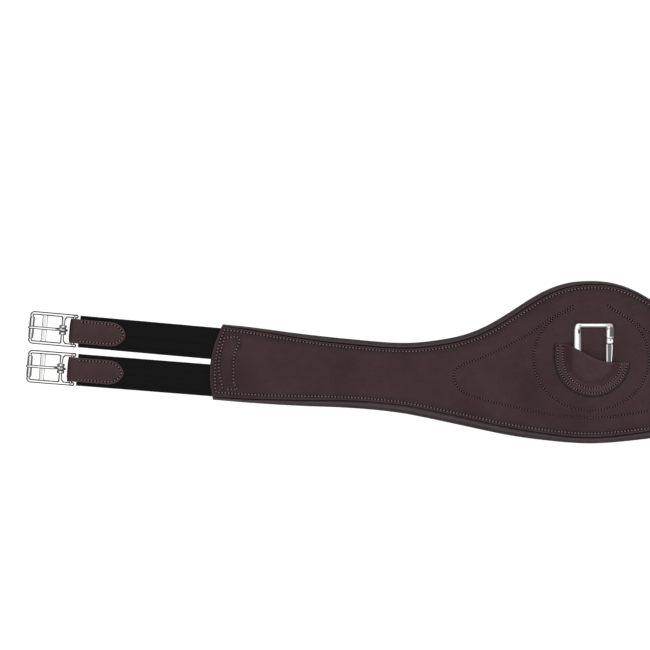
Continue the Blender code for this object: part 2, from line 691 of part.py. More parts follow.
def snap_body_mesh():
    """The hook: a nose with a necked tip, a square bow, a spine, a bar for the keeper and a tang."""
    top_y, spine_x = 40.0, -14.1
    bar_y = SNAP_BAR_Y / MM
    pin_x, pin_y = GATE_PIN[0] / MM, GATE_PIN[1] / MM
    tip = [(19.8, 3.3, 1.9), (20.6, 3.8, 2.1), (24.4, 3.8, 2.1), (25.6, 3.2, 1.8), (26.4, 3.2, 1.8)]
    stations = [(21.6, y, half_width, half_height) for y, half_width, half_height in tip]
    stations += [(22.0, 27.8, 4.3, 2.1), (22.2, 32.0, 4.5, 2.2), (22.2, 37.0, 4.5, 2.2)]
    stations += [(x, y, 2.9, 2.2) for x, y in arc((21.0, 37.8), 2.2, 20, 70, 2)]
    stations += [(18.0, top_y, 2.2, 2.2), (-10.0, top_y, 2.2, 2.2)]
    stations += [(x, y, 2.8, 2.2) for x, y in arc((-12.2, 37.6), 2.4, 110, 160, 2)]
    stations += [(spine_x, 35.0, 3.8, 2.2), (spine_x, 12.0, 3.9, 2.2), (-13.6, 0.0, 3.3, 2.1)]
    stations += [(x, y, 2.2, 1.8) for x, y in arc((-8.6, bar_y + 5.0), 5.0, 185, 265, 4)]
    stations += [(-6.2, bar_y, 1.6, 1.6), (12.5, bar_y, 1.6, 1.6)]
    stations += [(x, y, 1.9, 1.7) for x, y in arc((14.9, bar_y + 5.0), 5.0, 280, 345, 4)]
    stations += [(pin_x, -5.8, 2.3, 0.85), (pin_x, -3.0, 2.3, 0.8)]
    stations += [(pin_x, -1.0, 2.1, 0.8), (pin_x, -0.2, 1.3, 0.8)]
    bow = [((x * MM, y * MM, 0), w * MM, h * MM) for x, y, w, h in stations]
    hole = cylinder("hole", GATE_HOLE_RADIUS, (*GATE_PIN, -3 * MM), (*GATE_PIN, 3 * MM), 14)
    return combine("snap_hook", swept_bar("bow", bow, squareness=0.75), [hole], "DIFFERENCE")


def gate_mesh():
    """The gate: a tapered bar, forked over the tang, with a channel down its front."""
    px, py = GATE_PIN[0] / MM, GATE_PIN[1] / MM
    stations = [(px, py - 3.2, 1.2), (px, py - 2.5, 2.3), (px, py - 1.0, 2.9), (px, py + 2.6, 3.1),
                (21.2, 15.5, 3.6), (21.2, GATE_TOP_Y / MM - 0.5, 3.6), (21.2, GATE_TOP_Y / MM, 3.1)]
    bar = [((x * MM, y * MM, 0), w * MM, 2.1 * MM) for x, y, w in stations]
    bar = swept_bar("bar", bar, count=12, squareness=0.7)
    slot_plan = [(14, -9), (28, -9), (28, 5.4), (14, 5.4)]
    slot = prism("slot", [(x * MM, y * MM) for x, y in slot_plan], -1.1 * MM, 1.1 * MM)
    channel_plan = [(19.9, 1.5), (21.6, 1.5), (22.1, 17.0), (20.3, 17.0)]
    channel = prism("channel", [(x * MM, y * MM) for x, y in channel_plan], 1.5 * MM, 3 * MM)
    hole = cylinder("hole", GATE_HOLE_RADIUS, (*GATE_PIN, -3 * MM), (*GATE_PIN, 3 * MM), 14)
    made = combine("snap_gate", bar, [slot, channel, hole], "DIFFERENCE")
    made.transform(Matrix.Translation((-GATE_PIN[0], -GATE_PIN[1], 0)))
    return made


def gate_spring_mesh():
    """A leaf spring in the gate's fork, bearing on the tang's end."""
    path = [(-1.3, 3.0), (-0.6, 3.6), (0.4, 4.6), (0.7, 5.8), (0.3, 7.2)]
    stations = [((x * MM, y * MM, 0), 0.22 * MM, 0.6 * MM) for x, y in path]
    return swept_bar("snap_gate_spring", stations, count=6)


def keeper_mesh():
    """The keeper: leather looped round the hook's bar, its two plies running down into the pocket."""
    loop_radius = SNAP_BAR_RADIUS + GAP + KEEPER_PLY / 2
    end = KEEPER_END_Y - SNAP_BAR_Y
    loop = [(y, z) for y, z in arc((0, 0), loop_radius, 100, -90, 8)]
    low_ply_z = -loop_radius
    top = [(end, low_ply_z + KEEPER_PLY + GAP), (end + 3.5 * MM, -0.6 * MM), (-3.6 * MM, 1.75 * MM)]
    path = top + loop + [(end, low_ply_z)]
    return folded_strap("snap_keeper", path, KEEPER_PLY, lambda y, z: KEEPER_WIDTH / 2)


def build_snap():
    """The hook on its keeper, with its gate, pin and spring."""
    tilt = empty("tilt_snap", (0, SNAP_BAR_Y, SNAP_Z))
    body = snap_body_mesh()
    body.transform(Matrix.Translation((0, -SNAP_BAR_Y, 0)))
    make_object("snap_hook", body, "steel", tilt)
    pivot = empty("pivot_gate", (GATE_PIN[0], GATE_PIN[1] - SNAP_BAR_Y, 0), tilt)
    make_object("snap_gate", gate_mesh(), "steel", pivot)
    make_object("snap_gate_spring", gate_spring_mesh(), "steel", pivot)
    pin = cylinder("snap_gate_pin", GATE_PIN_RADIUS, (0, 0, -2.1 * MM), (0, 0, 2.1 * MM), 12)
    pin.transform(Matrix.Translation((GATE_PIN[0], GATE_PIN[1] - SNAP_BAR_Y, 0)))
    make_object("snap_gate_pin", pin, "steel", tilt)
    keeper = keeper_mesh()
    holder = empty("keeper_axis", (POCKET_CENTRE[0], SNAP_BAR_Y, SNAP_Z), turn=math.pi / 2)
    make_object("snap_keeper", keeper, "face_leather", holder)


# ---------------------------------------------------------------- assembly
for old in list(bpy.data.objects):
    bpy.data.objects.remove(old)

ARMS = {"left": empty("flex_left_arm", (-FLEX_X, 0, FLEX_Z)),
        "right": empty("flex_right_arm", (FLEX_X, 0, FLEX_Z))}
build_body(ARMS)
build_straps(ARMS)
build_pocket()
build_snap()
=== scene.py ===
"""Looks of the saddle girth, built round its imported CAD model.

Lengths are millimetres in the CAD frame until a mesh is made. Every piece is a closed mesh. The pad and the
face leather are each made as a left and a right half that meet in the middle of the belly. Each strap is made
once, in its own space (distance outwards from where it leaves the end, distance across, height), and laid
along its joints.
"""

import json
import math
from collections import namedtuple

import bmesh
import bpy
import numpy as np
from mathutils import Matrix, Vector, noise
from mathutils.bvhtree import BVHTree
from mathutils.kdtree import KDTree


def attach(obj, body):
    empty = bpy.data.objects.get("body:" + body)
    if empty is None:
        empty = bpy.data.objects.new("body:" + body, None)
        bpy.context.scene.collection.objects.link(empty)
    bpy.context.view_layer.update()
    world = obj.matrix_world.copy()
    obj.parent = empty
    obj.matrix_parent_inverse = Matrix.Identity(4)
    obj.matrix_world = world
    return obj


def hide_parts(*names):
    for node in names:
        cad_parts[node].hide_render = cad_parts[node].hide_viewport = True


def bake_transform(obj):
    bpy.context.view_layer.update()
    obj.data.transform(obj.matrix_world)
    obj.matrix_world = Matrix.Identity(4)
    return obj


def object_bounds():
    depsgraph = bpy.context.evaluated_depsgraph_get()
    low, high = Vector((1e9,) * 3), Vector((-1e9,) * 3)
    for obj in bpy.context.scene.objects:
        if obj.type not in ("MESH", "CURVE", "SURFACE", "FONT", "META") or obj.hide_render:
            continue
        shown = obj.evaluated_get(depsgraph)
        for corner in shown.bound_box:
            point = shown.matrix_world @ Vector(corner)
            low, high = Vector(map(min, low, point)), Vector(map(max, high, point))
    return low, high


MM = 0.001
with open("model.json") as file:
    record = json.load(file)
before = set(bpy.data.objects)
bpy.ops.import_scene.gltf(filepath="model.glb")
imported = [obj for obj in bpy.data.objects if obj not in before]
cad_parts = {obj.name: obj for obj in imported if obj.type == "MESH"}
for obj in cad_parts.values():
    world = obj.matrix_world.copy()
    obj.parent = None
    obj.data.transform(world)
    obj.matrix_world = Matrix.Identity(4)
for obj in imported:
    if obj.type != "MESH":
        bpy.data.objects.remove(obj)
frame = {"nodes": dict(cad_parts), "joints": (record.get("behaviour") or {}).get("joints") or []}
CAD_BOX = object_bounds()
SIDES = {"left": -1.0, "right": 1.0}
ROWS = ("front", "rear")

# Belly and arms
# Width of the padded rim left showing beside the face leather, and depth of the edge's stitch row, both
# from the body's edge, at signed distances from the middle.
FRONT_RIM = [(-408, 2.6), (-386, 3.2), (-303, 6.0), (-210, 6.4), (-66, 6.2), (0, 4.4), (45, 3.3), (80, 3.8),
             (150, 6.2), (303, 6.0), (386, 3.2), (408, 2.6)]
FRONT_ROW = [(-408, 5.8), (-386, 6.3), (-303, 9.0), (-210, 9.6), (-66, 9.1), (0, 7.8), (45, 6.5), (80, 6.9),
             (150, 9.3), (303, 9.0), (386, 6.3), (408, 5.8)]
REAR_RIM = [(-418, 3.4), (-386, 4.2), (-303, 7.3), (-211, 9.2), (-100, 9.0), (0, 6.9), (100, 9.0), (211, 9.2),
            (303, 7.3), (386, 4.2), (418, 3.4)]
REAR_ROW = [(-418, 8.8), (-386, 9.3), (-303, 11.5), (-211, 12.3), (-100, 12.1), (0, 11.3), (100, 12.1),
            (211, 12.3), (303, 11.5), (386, 9.3), (418, 8.8)]
FACE_TOP = 10.8
FACE_BASE = 8.3
PAD_HEIGHT = 8.0
ROLL_RADIUS = 4.2
END_SHAPE_START = 330.0  # the slant and bulge of the end fade in from here
BEND = (150.0, 290.0)  # distances from the middle where an arm's bend would start and end; nothing bends
END_ROW = 3.9
# Stitches: distance from one to the next, length and radius of the thread, size of the hole before it in
# thread radii (0 for none; the hole is a patch of painted shade), and the thread's place in the list of
# materials.
Stitch = namedtuple("Stitch", "pitch length radius hole thread")
EDGE_STITCH = Stitch(3.7, 1.85, 0.66, 1.6, 0)
FINE_STITCH = Stitch(3.2, 1.6, 0.40, 2.6, 2)
CHAPE_STITCH = Stitch(3.7, 2.0, 0.58, 2.2, 0)
POCKET_STITCH = Stitch(3.0, 1.7, 0.50, 2.6, 0)
BELOW = {EDGE_STITCH: Stitch(3.7, 1.85, 0.36, 1.45, 0), FINE_STITCH: Stitch(3.2, 1.6, 0.36, 0, 0)}
HOLE_RISE = 0.26
HOLE_SLOT = 1  # the hole's place in the list of materials

# Stitched lines on the face, right half. The left half mirrors them.
LEAF = [
    (19.4, 62.2), (50.0, 43.8), (66.6, 31.6), (94.4, 16.1), (122.1, 3.9), (144.3, -5.0), (151.5, -15.0),
    (145.4, -30.3), (132.1, -38.0), (116.5, -42.8), (99.9, -46.6), (81.4, -51.0), (62.9, -55.2),
    (25.9, -60.9), (0.0, -62.2),
]
CIRCLE_CENTRE = (1.1, 3.3)
CIRCLE_AXES = (64.0, 57.7)
CIRCLE_GAP = 20.0  # the circle's row stops this far from the middle at its top
END_BOX_OUTER = [(407.7, -30.9), (409.7, -21.0), (411.7, -10.0), (411.7, 0.9), (409.7, 12.8), (405.2, 26.6)]
END_BOX_INNER = [(391.8, 27.6), (389.0, 23.9), (391.0, 16.8), (395.3, 6.8), (395.8, -2.1), (395.8, -11.0),
                 (395.4, -22.8), (391.8, -30.9)]

# Straps. Distances outwards are from the strap's root, where it leaves the girth's end.
STRAP_FLEX = 4.5
STRAP_BEND = (0.5, 12.0)  # where a strap's bend would start and end; nothing bends
STRETCH = (45.0, 95.0)  # where its elastic's stretch would start and end; nothing stretches
ELASTIC_WIDTH = 35.4
ELASTIC_HALF = 1.2  # half thickness
ELASTIC_SPLIT = 41.5
ELASTIC_SPAN = (-30.0, 149.2)
CHAPE_TIP = 97.3
CHAPE_TIP_LENGTH = 18.3
CHAPE_WIDTH = 27.2
CHAPE_ROW = 2.8
CHAPE_ROW_END = 149.0
REAR_BAR = 155.5
TONGUE_BAR = 167.5
GUIDE_BAR = 188.0
END_BAR = 202.2
TONGUE_TIP = 206.2
BUCKLE_WIDTH = 35.8
WIRE = 1.7
FLAT_WIRE = 2.12  # half width of the wire where it is pressed flat
BALL = 2.3  # radius of the frame's ball tips
BALL_AT = 153.2  # their distance outwards
COIL = 3.1  # radius of the tongue's turns, to the middle of their wire
COIL_ANGLES = (-0.75, 0.95)  # the plate that joins the turns reaches between these, from straight up

# Pocket and snap hook
POCKET_CENTRE = (2.4, 3.3)
POCKET_RADIUS = 42.0
POCKET_HIGH, POCKET_LOW = 19.4, -0.6
POCKET_ROWS = (3.4, 9.4)
POCKET_RISE = 5.75
MOUTH_SPAN = (-26.0, 22.0)
SNAP_Z = 14.2
SNAP_BAR_Y = -12.2
GATE_PIN = (20.7, -2.6)
FLOOR_DROP = 0.36  # metres from the girth down to the floor
CAMERA_AT = (-0.2942, 0.0405, 6.0195)  # metres
CAMERA_LENS, CAMERA_SENSOR = 300, 36
# Painted shadow of the hook on the face, at a few points round it, seen as small dark spots.
HOOK_SHADOW_POINTS = [(-18.6, 4), (-18.6, 40), (-16, 42.8), (24, 42.8), (27, 40), (27, 0), (-9.4, -3), (-9.4, 37.2),
              (17, 37.2), (17, 0)]


# ---------------------------------------------------------------- small helpers
def smooth(value, low, high):
    """0 below low, 1 above high, and an S-shaped rise between."""
    t = np.clip((value - low) / (high - low), 0.0, 1.0)
    return t * t * (3 - 2 * t)


def swell(depth, radius, power=2.0):
    """Share of full height at a depth inside a rounded border of that radius."""
    t = np.clip(depth / radius, 0.0, 1.0)
    return (1 - (1 - t) ** power) ** (1 / power)


def hump(value, centre=0.0, width=1.0, power=2):
    """1 at the centre, fading to 0 over about the width on both sides."""
    return np.exp(-((value - centre) / width) ** power)


def ripple(x, y, wave_x, wave_y, seed=0.0):
    """Smooth noise over arrays of positions, with a wavelength along each."""
    flat = [noise.noise(Vector((a / wave_x, b / wave_y, seed))) for a, b in zip(x.ravel(), y.ravel())]
    return np.array(flat).reshape(x.shape)


def through(points, step=0.5):
    """A dense smooth line through a few points."""
    points = np.asarray(points, float)
    ghosts = np.vstack([2 * points[0] - points[1], points, 2 * points[-1] - points[-2]])
    line = []
    for i in range(1, len(ghosts) - 2):
        p0, p1, p2, p3 = ghosts[i - 1:i + 3]
        count = max(int(np.linalg.norm(p2 - p1) / step), 1)
        for k in range(count):
            t = k / count
            line.append(0.5 * (2 * p1 + (p2 - p0) * t + (2 * p0 - 5 * p1 + 4 * p2 - p3) * t * t
                               + (3 * p1 - p0 - 3 * p2 + p3) * t ** 3))
    line.append(points[-1])
    return np.array(line)


def arc(centre, radius, start, end, count):
    """Points on an arc, with angles in degrees, both ends included."""
    angles = np.radians(np.linspace(start, end, count + 1))
    return np.column_stack([centre[0] + radius * np.cos(angles), centre[1] + radius * np.sin(angles)])


def paced(line, pitch):
    """Midpoints and directions of stitches of about one pitch along a line."""
    lengths = np.concatenate([[0], np.cumsum(np.linalg.norm(np.diff(line, axis=0), axis=1))])
    count = max(int(round(lengths[-1] / pitch)), 1)
    marks = (np.arange(count) + 0.5) * lengths[-1] / count
    reach = 0.4 * lengths[-1] / count

    def at(marks):
        return np.column_stack([np.interp(marks, lengths, line[:, k]) for k in range(line.shape[1])])

    along = at(marks + reach) - at(marks - reach)
    return at(marks), along / np.linalg.norm(along, axis=1)[:, None]


def distance_to(x, y, line):
    """Distance in plan from each position to a dense line."""
    tree = KDTree(len(line))
    for i, p in enumerate(line):
        tree.insert((p[0], p[1], 0), i)
    tree.balance()
    return np.array([tree.find((a, b, 0))[2] for a, b in zip(x.ravel(), y.ravel())]).reshape(x.shape)


def inside(x, y, outline):
    """Whether each position lies inside a closed outline."""
    hit = np.zeros(x.shape, bool)
    for (x0, y0), (x1, y1) in zip(outline, np.roll(outline, -1, axis=0)):
        crosses = (y0 > y) != (y1 > y)
        if crosses.any():
            hit ^= crosses & (x < x0 + (x1 - x0) * (y - y0) / ((y1 - y0) or 1e-9))
    return hit


# ---------------------------------------------------------------- materials
class Shader:
    """Short calls that build a material's nodes. Texture lengths are millimetres of the rest attribute."""

    def __init__(self, name):
        self.material = bpy.data.materials.new(name)
        self.material.use_nodes = True
        self.tree = self.material.node_tree
        self.surface = self.tree.nodes["Principled BSDF"]
        self.rest = self.add("ShaderNodeAttribute", attribute_name="rest").outputs["Vector"]

    def add(self, kind, inputs=None, **settings):
        node = self.tree.nodes.new(kind)
        for key, value in settings.items():
            setattr(node, key, value)
        for key, value in (inputs or {}).items():
            self.put(node.inputs[key], value)
        return node

    def put(self, socket, value):
        if isinstance(value, bpy.types.NodeSocket):
            self.tree.links.new(value, socket)
        else:
            socket.default_value = value

    def level(self, name):
        return self.add("ShaderNodeAttribute", attribute_name=name).outputs["Fac"]

    def stretched(self, scale):
        node = self.add("ShaderNodeMapping", {"Vector": self.rest, "Scale": scale})
        return node.outputs["Vector"]

    def noise(self, scale, detail=3.0, roughness=0.5, vector=None):
        inputs = {"Vector": vector or self.rest, "Scale": scale, "Detail": detail, "Roughness": roughness}
        return self.add("ShaderNodeTexNoise", inputs).outputs["Fac"]

    def cells(self, scale, feature="F1"):
        inputs = {"Vector": self.rest, "Scale": scale}
        return self.add("ShaderNodeTexVoronoi", inputs, feature=feature).outputs["Distance"]

    def wave(self, scale, direction, distortion=0.0, detail_scale=1.0):
        inputs = {"Vector": self.rest, "Scale": scale, "Distortion": distortion,
                  "Detail": 2.0, "Detail Scale": detail_scale}
        return self.add("ShaderNodeTexWave", inputs, bands_direction=direction).outputs["Fac"]

    def maths(self, operation, a, b=0.0):
        return self.add("ShaderNodeMath", {0: a, 1: b}, operation=operation).outputs[0]

    def upward(self, vector):
        return self.add("ShaderNodeSeparateXYZ", {0: vector}).outputs["Z"]

    def spread(self, value, low, high, to_low=0.0, to_high=1.0):
        inputs = {"Value": value, "From Min": low, "From Max": high, "To Min": to_low, "To Max": to_high}
        return self.add("ShaderNodeMapRange", inputs).outputs["Result"]

    def mix(self, share, a, b):
        node = self.add("ShaderNodeMix", data_type="RGBA")
        self.put(node.inputs[0], share)
        for socket, value in ((node.inputs[6], a), (node.inputs[7], b)):
            self.put(socket, (*value, 1.0) if isinstance(value, tuple) else value)
        return node.outputs[2]

    def bump(self, height, distance, strength=1.0, normal=None):
        inputs = {"Height": height, "Distance": distance * MM, "Strength": strength}
        if normal is not None:
            inputs["Normal"] = normal
        return self.add("ShaderNodeBump", inputs).outputs["Normal"]

    def finish(self, **inputs):
        for key, value in inputs.items():
            value = (*value, 1.0) if isinstance(value, tuple) else value
            self.put(self.surface.inputs[key.replace("_", " ")], value)
        return self.material


def leather(name, colour, light, dark, grain, creases, roughness, shine):
    """Grained leather: pebbles, pores and fine creases. Its dark level paints shade into seams, grooves and
    edges (partly the dye of cut edges); its highlight level paints light on rims and crests, with a little
    wear.
    """
    s = Shader(name)
    patches = s.spread(s.noise(0.02, 3), 0.3, 0.7)
    mottle = s.spread(s.noise(0.35, 4, 0.6), 0.3, 0.7)
    pebble = s.cells(grain, "SMOOTH_F1")
    pores = s.spread(s.cells(grain * 0.7), 0.0, 0.16, 1.0, 0.0)
    base = s.mix(s.maths("MULTIPLY", patches, 0.35), colour, light)
    base = s.mix(s.maths("MULTIPLY", mottle, 0.3), base, dark)
    base = s.mix(s.maths("MULTIPLY", pores, 0.45), base, dark)
    # Painted highlight (with a little wear) where the highlight level is set, then painted shade (with the
    # dye of cut edges) where the dark level is set.
    base = s.mix(s.level("worn"), base, light)
    base = s.mix(s.level("dark"), base, tuple(c * 0.12 for c in dark))
    fold = s.noise(0.22, 5, 0.62, s.stretched((1.0, 1.8, 1.0)))
    crease = s.spread(s.maths("ABSOLUTE", s.maths("SUBTRACT", fold, 0.5)), 0.0, 0.05)
    normal = s.bump(crease, creases * 0.2, 0.5)
    normal = s.bump(s.noise(0.09, 3), creases, 0.6, normal)
    normal = s.bump(pebble, 0.16, 0.55, normal)
    normal = s.bump(s.noise(grain * 3.1, 3), 0.05, 0.4, normal)
    gloss = s.spread(s.noise(0.12, 4), 0.3, 0.7, roughness - 0.06, roughness + 0.08)
    gloss = s.maths("SUBTRACT", gloss, s.maths("MULTIPLY", s.level("worn"), 0.12))
    return s.finish(Base_Color=base, Roughness=gloss, Normal=normal, Coat_Weight=0.02,
                    Coat_Roughness=0.32, Sheen_Weight=0.02, Specular_IOR_Level=shine)


def thread_material(name, shade, light):
    """Twisted waxed thread."""
    s = Shader(name)
    twist = s.wave(0.75, "DIAGONAL", 0.3)
    normal = s.bump(s.noise(3.0, 3), 0.05, 0.5, s.bump(twist, 0.12, 0.8))
    return s.finish(Base_Color=s.mix(twist, shade, light), Roughness=0.55, Normal=normal, Sheen_Weight=0.15)


def hole_shade_material():
    """Painted shade for the inside of a stitch hole: a near-black patch laid on the leather."""
    s = Shader("stitch_hole_shade")
    base = s.mix(s.noise(1.5, 2), (0.0022, 0.0009, 0.0011), (0.005, 0.002, 0.0025))
    return s.finish(Base_Color=base, Roughness=0.9, Specular_IOR_Level=0.1)


def elastic_material():
    """Woven elastic webbing: fine lengthwise cords crossed by a tight weft."""
    s = Shader("woven_elastic")
    weft = s.wave(0.55, "X", 0.4, 0.8)
    weave = s.maths("MULTIPLY", s.wave(0.42, "Y", 0.15), weft)
    bands = s.spread(s.noise(0.16, 2, 0.5, s.stretched((0.02, 1.0, 1.0))), 0.35, 0.65)
    # Painted highlight on the crowns of the weave.
    base = s.mix(weave, (0.0020, 0.0017, 0.0020), (0.0075, 0.0062, 0.0068))
    base = s.mix(s.maths("MULTIPLY", bands, 0.5), base, (0.0065, 0.0054, 0.0060))
    # Painted shade where the dark level is set.
    base = s.mix(s.level("dark"), base, (0.001, 0.0008, 0.001))
    lint = s.noise(1.1, 4, 0.7)
    base = s.mix(s.spread(lint, 0.62, 0.8, 0.0, 0.3), base, (0.018, 0.016, 0.017))
    normal = s.bump(weave, 0.22, 0.9)
    normal = s.bump(s.noise(0.05, 2), 0.5, 0.4, normal)
    return s.finish(Base_Color=base, Roughness=0.78, Normal=normal, Sheen_Weight=0.03,
                    Sheen_Roughness=0.5, Specular_IOR_Level=0.14)


def steel_material():
    """Polished stainless steel with hairline scratches, as it looks under a wide lamp in a dark room.

    It glows with a painted reflection of a bright panel overhead, strongest where a surface would mirror that
    panel and faint everywhere else. Surfaces that slope and turn away from the eye are painted dark and less
    metallic, a painted reflection of the dark room, except where the piece's highlight level says that it is
    too broad for that. The dark level adds painted shade.
    """
    s = Shader("polished_steel")
    mirrored = s.upward(s.add("ShaderNodeTexCoord").outputs["Reflection"])
    facing_up = s.upward(s.add("ShaderNodeNewGeometry").outputs["Normal"])
    turned = s.add("ShaderNodeLayerWeight", {"Blend": 0.5}).outputs["Facing"]
    # Painted shade on sides that turn from the eye, and wherever the dark level is set.
    shade = s.spread(turned, 0.02, 0.07)
    for limit in (s.spread(facing_up, 0.945, 0.985, 1.0, 0.0), s.spread(facing_up, 0.12, 0.32),
                  s.spread(s.level("worn"), 0.0, 1.0, 1.0, 0.0)):
        shade = s.maths("MULTIPLY", shade, limit)
    shade = s.maths("MAXIMUM", shade, s.level("dark"))
    # Painted reflection: an emission standing in for the bright panel mirrored overhead, with a faint glow on
    # every surface.
    panel = s.spread(mirrored, 0.55, 0.95, 0.0, 0.62)
    for least in (s.spread(facing_up, 0.93, 0.99, 0.0, 0.30), s.spread(facing_up, -0.9, 0.0, 0.34, 0.16)):
        panel = s.maths("MAXIMUM", panel, least)
    panel = s.maths("MULTIPLY", panel, s.spread(shade, 0.0, 1.0, 1.0, 0.0))
    scratch = s.noise(0.6, 6, 0.75, s.stretched((0.25, 4.0, 1.0)))
    gloss = s.spread(s.spread(scratch, 0.55, 0.72), 0.0, 1.0, 0.13, 0.30)
    base = s.mix(s.spread(s.noise(0.3, 3), 0.45, 0.75), (0.29, 0.286, 0.282), (0.21, 0.204, 0.20))
    base = s.mix(shade, base, (0.014, 0.011, 0.012))
    tint = s.mix(shade, (1.0, 1.0, 1.0), (0.03, 0.03, 0.03))
    normal = s.bump(s.noise(0.5, 2), 0.12, 0.25, s.bump(scratch, 0.03, 0.35))
    return s.finish(Base_Color=base, Metallic=s.spread(shade, 0.0, 1.0, 1.0, 0.25), Roughness=gloss,
                    Normal=normal, Specular_IOR_Level=0.06, Specular_Tint=tint,
                    Emission_Color=(1.0, 0.99, 0.985), Emission_Strength=panel)


def floor_material():
    """Plain pale floor, clear from below."""
    s = Shader("pale_floor")
    s.finish(Base_Color=s.mix(s.noise(2.0, 2), (0.91, 0.91, 0.91), (0.93, 0.93, 0.93)), Roughness=0.9,
             Specular_IOR_Level=0.0, Emission_Color=(1.0, 1.0, 1.0), Emission_Strength=0.32)
    back = s.add("ShaderNodeNewGeometry").outputs["Backfacing"]
    clear = s.add("ShaderNodeBsdfTransparent").outputs[0]
    mixed = s.add("ShaderNodeMixShader", {0: back, 1: s.surface.outputs[0], 2: clear}).outputs[0]
    s.put(s.tree.nodes["Material Output"].inputs["Surface"], mixed)
    return s.material


FACE_LEATHER = leather("face_leather_grained", (0.0285, 0.0082, 0.0095), (0.072, 0.037, 0.039),
                       (0.0155, 0.0040, 0.0050), 1.15, 0.5, 0.50, 0.20)
STRAP_LEATHER = leather("strap_leather_grained", (0.036, 0.0130, 0.0145), (0.092, 0.053, 0.055),
                        (0.020, 0.0064, 0.0078), 1.15, 0.5, 0.50, 0.20)
PAD_LEATHER = leather("pad_leather_soft", (0.0235, 0.0122, 0.0130), (0.078, 0.050, 0.053),
                      (0.011, 0.0050, 0.0056), 1.5, 0.9, 0.46, 0.22)
THREAD = thread_material("thread", (0.125, 0.070, 0.073), (0.290, 0.180, 0.185))
FINE_THREAD = thread_material("fine_thread", (0.080, 0.041, 0.043), (0.195, 0.118, 0.122))
HOLE_SHADE = hole_shade_material()
ELASTIC = elastic_material()
STEEL = steel_material()


# ---------------------------------------------------------------- mesh makers
def make(name, points, faces, materials, levels=None, rest=None, sharp=55, face_slots=None):
    """A mesh object from points in millimetres, cleaned and turned outwards."""
    mesh = bpy.data.meshes.new(name)
    mesh.from_pydata((np.asarray(points) * MM).tolist(), [], faces)
    values = np.asarray(points if rest is None else rest, np.float32)
    mesh.attributes.new("rest", "FLOAT_VECTOR", "POINT").data.foreach_set("vector", values.ravel())
    for key in ("dark", "worn"):
        level = (levels or {}).get(key, np.zeros(len(points)))
        mesh.attributes.new(key, "FLOAT", "POINT").data.foreach_set("value", level.astype(np.float32))
    if face_slots is not None:
        mesh.polygons.foreach_set("material_index", np.asarray(face_slots, np.int32))
    bm = bmesh.new()
    bm.from_mesh(mesh)
    bmesh.ops.remove_doubles(bm, verts=bm.verts, dist=1e-7)
    loose = [v for v in bm.verts if not v.link_faces]
    bmesh.ops.delete(bm, geom=loose, context="VERTS")
    bmesh.ops.recalc_face_normals(bm, faces=bm.faces)
    if bm.calc_volume(signed=True) < 0:
        bmesh.ops.reverse_faces(bm, faces=bm.faces)
    bm.to_mesh(mesh)
    bm.free()
    for material in materials:
        mesh.materials.append(material)
    mesh.shade_smooth()
    mesh.set_sharp_from_angle(angle=math.radians(sharp))
    made = bpy.data.objects.new(name, mesh)
    bpy.context.scene.collection.objects.link(made)
    return made


def sheet(top, bottom, cut=(False, False)):
    """Points and faces of a closed sheet between two grids of points.

    The grids share their borders, except for an end that is cut, which gets a flat strip.
    """
    n, m = top.shape[:2]
    upper = np.arange(n * m).reshape(n, m)
    lower = upper + n * m
    lower[:, 0], lower[:, -1] = upper[:, 0], upper[:, -1]
    for row, is_cut in ((0, cut[0]), (-1, cut[1])):
        if not is_cut:
            lower[row] = upper[row]
    quads = [np.stack([g[:-1, :-1], g[1:, :-1], g[1:, 1:], g[:-1, 1:]], -1).reshape(-1, 4)
             for g in (upper, lower[:, ::-1])]
    faces = np.concatenate(quads).tolist()
    for row, is_cut in ((0, cut[0]), (-1, cut[1])):
        for j in range(m - 1 if is_cut else 0):
            around = [upper[row, j], upper[row, j + 1], lower[row, j + 1], lower[row, j]]
            faces.append(list(dict.fromkeys(int(k) for k in around)))
    return np.concatenate([top.reshape(-1, 3), bottom.reshape(-1, 3)]), faces


def shell(x, y, low, middle, high, rounded, cut=(False, False)):
    """A closed sheet between two heights, drawn to its middle height where it is rounded off."""
    grids = [np.stack([x, y, middle + (to - middle) * rounded], -1) for to in (high, low)]
    return sheet(*grids, cut)


def both(level, below=None):
    """Levels for the upper and the lower grid of a sheet."""
    return np.concatenate([level.ravel(), (level if below is None else below).ravel()])


def points_of(made):
    """An object's points in millimetres."""
    return np.array([v.co for v in made.data.vertices]) / MM


def paint(made, **levels):
    """Sets the dark or the worn level of each point."""
    for key, level in levels.items():
        made.data.attributes[key].data.foreach_set("value", level.astype(np.float32))


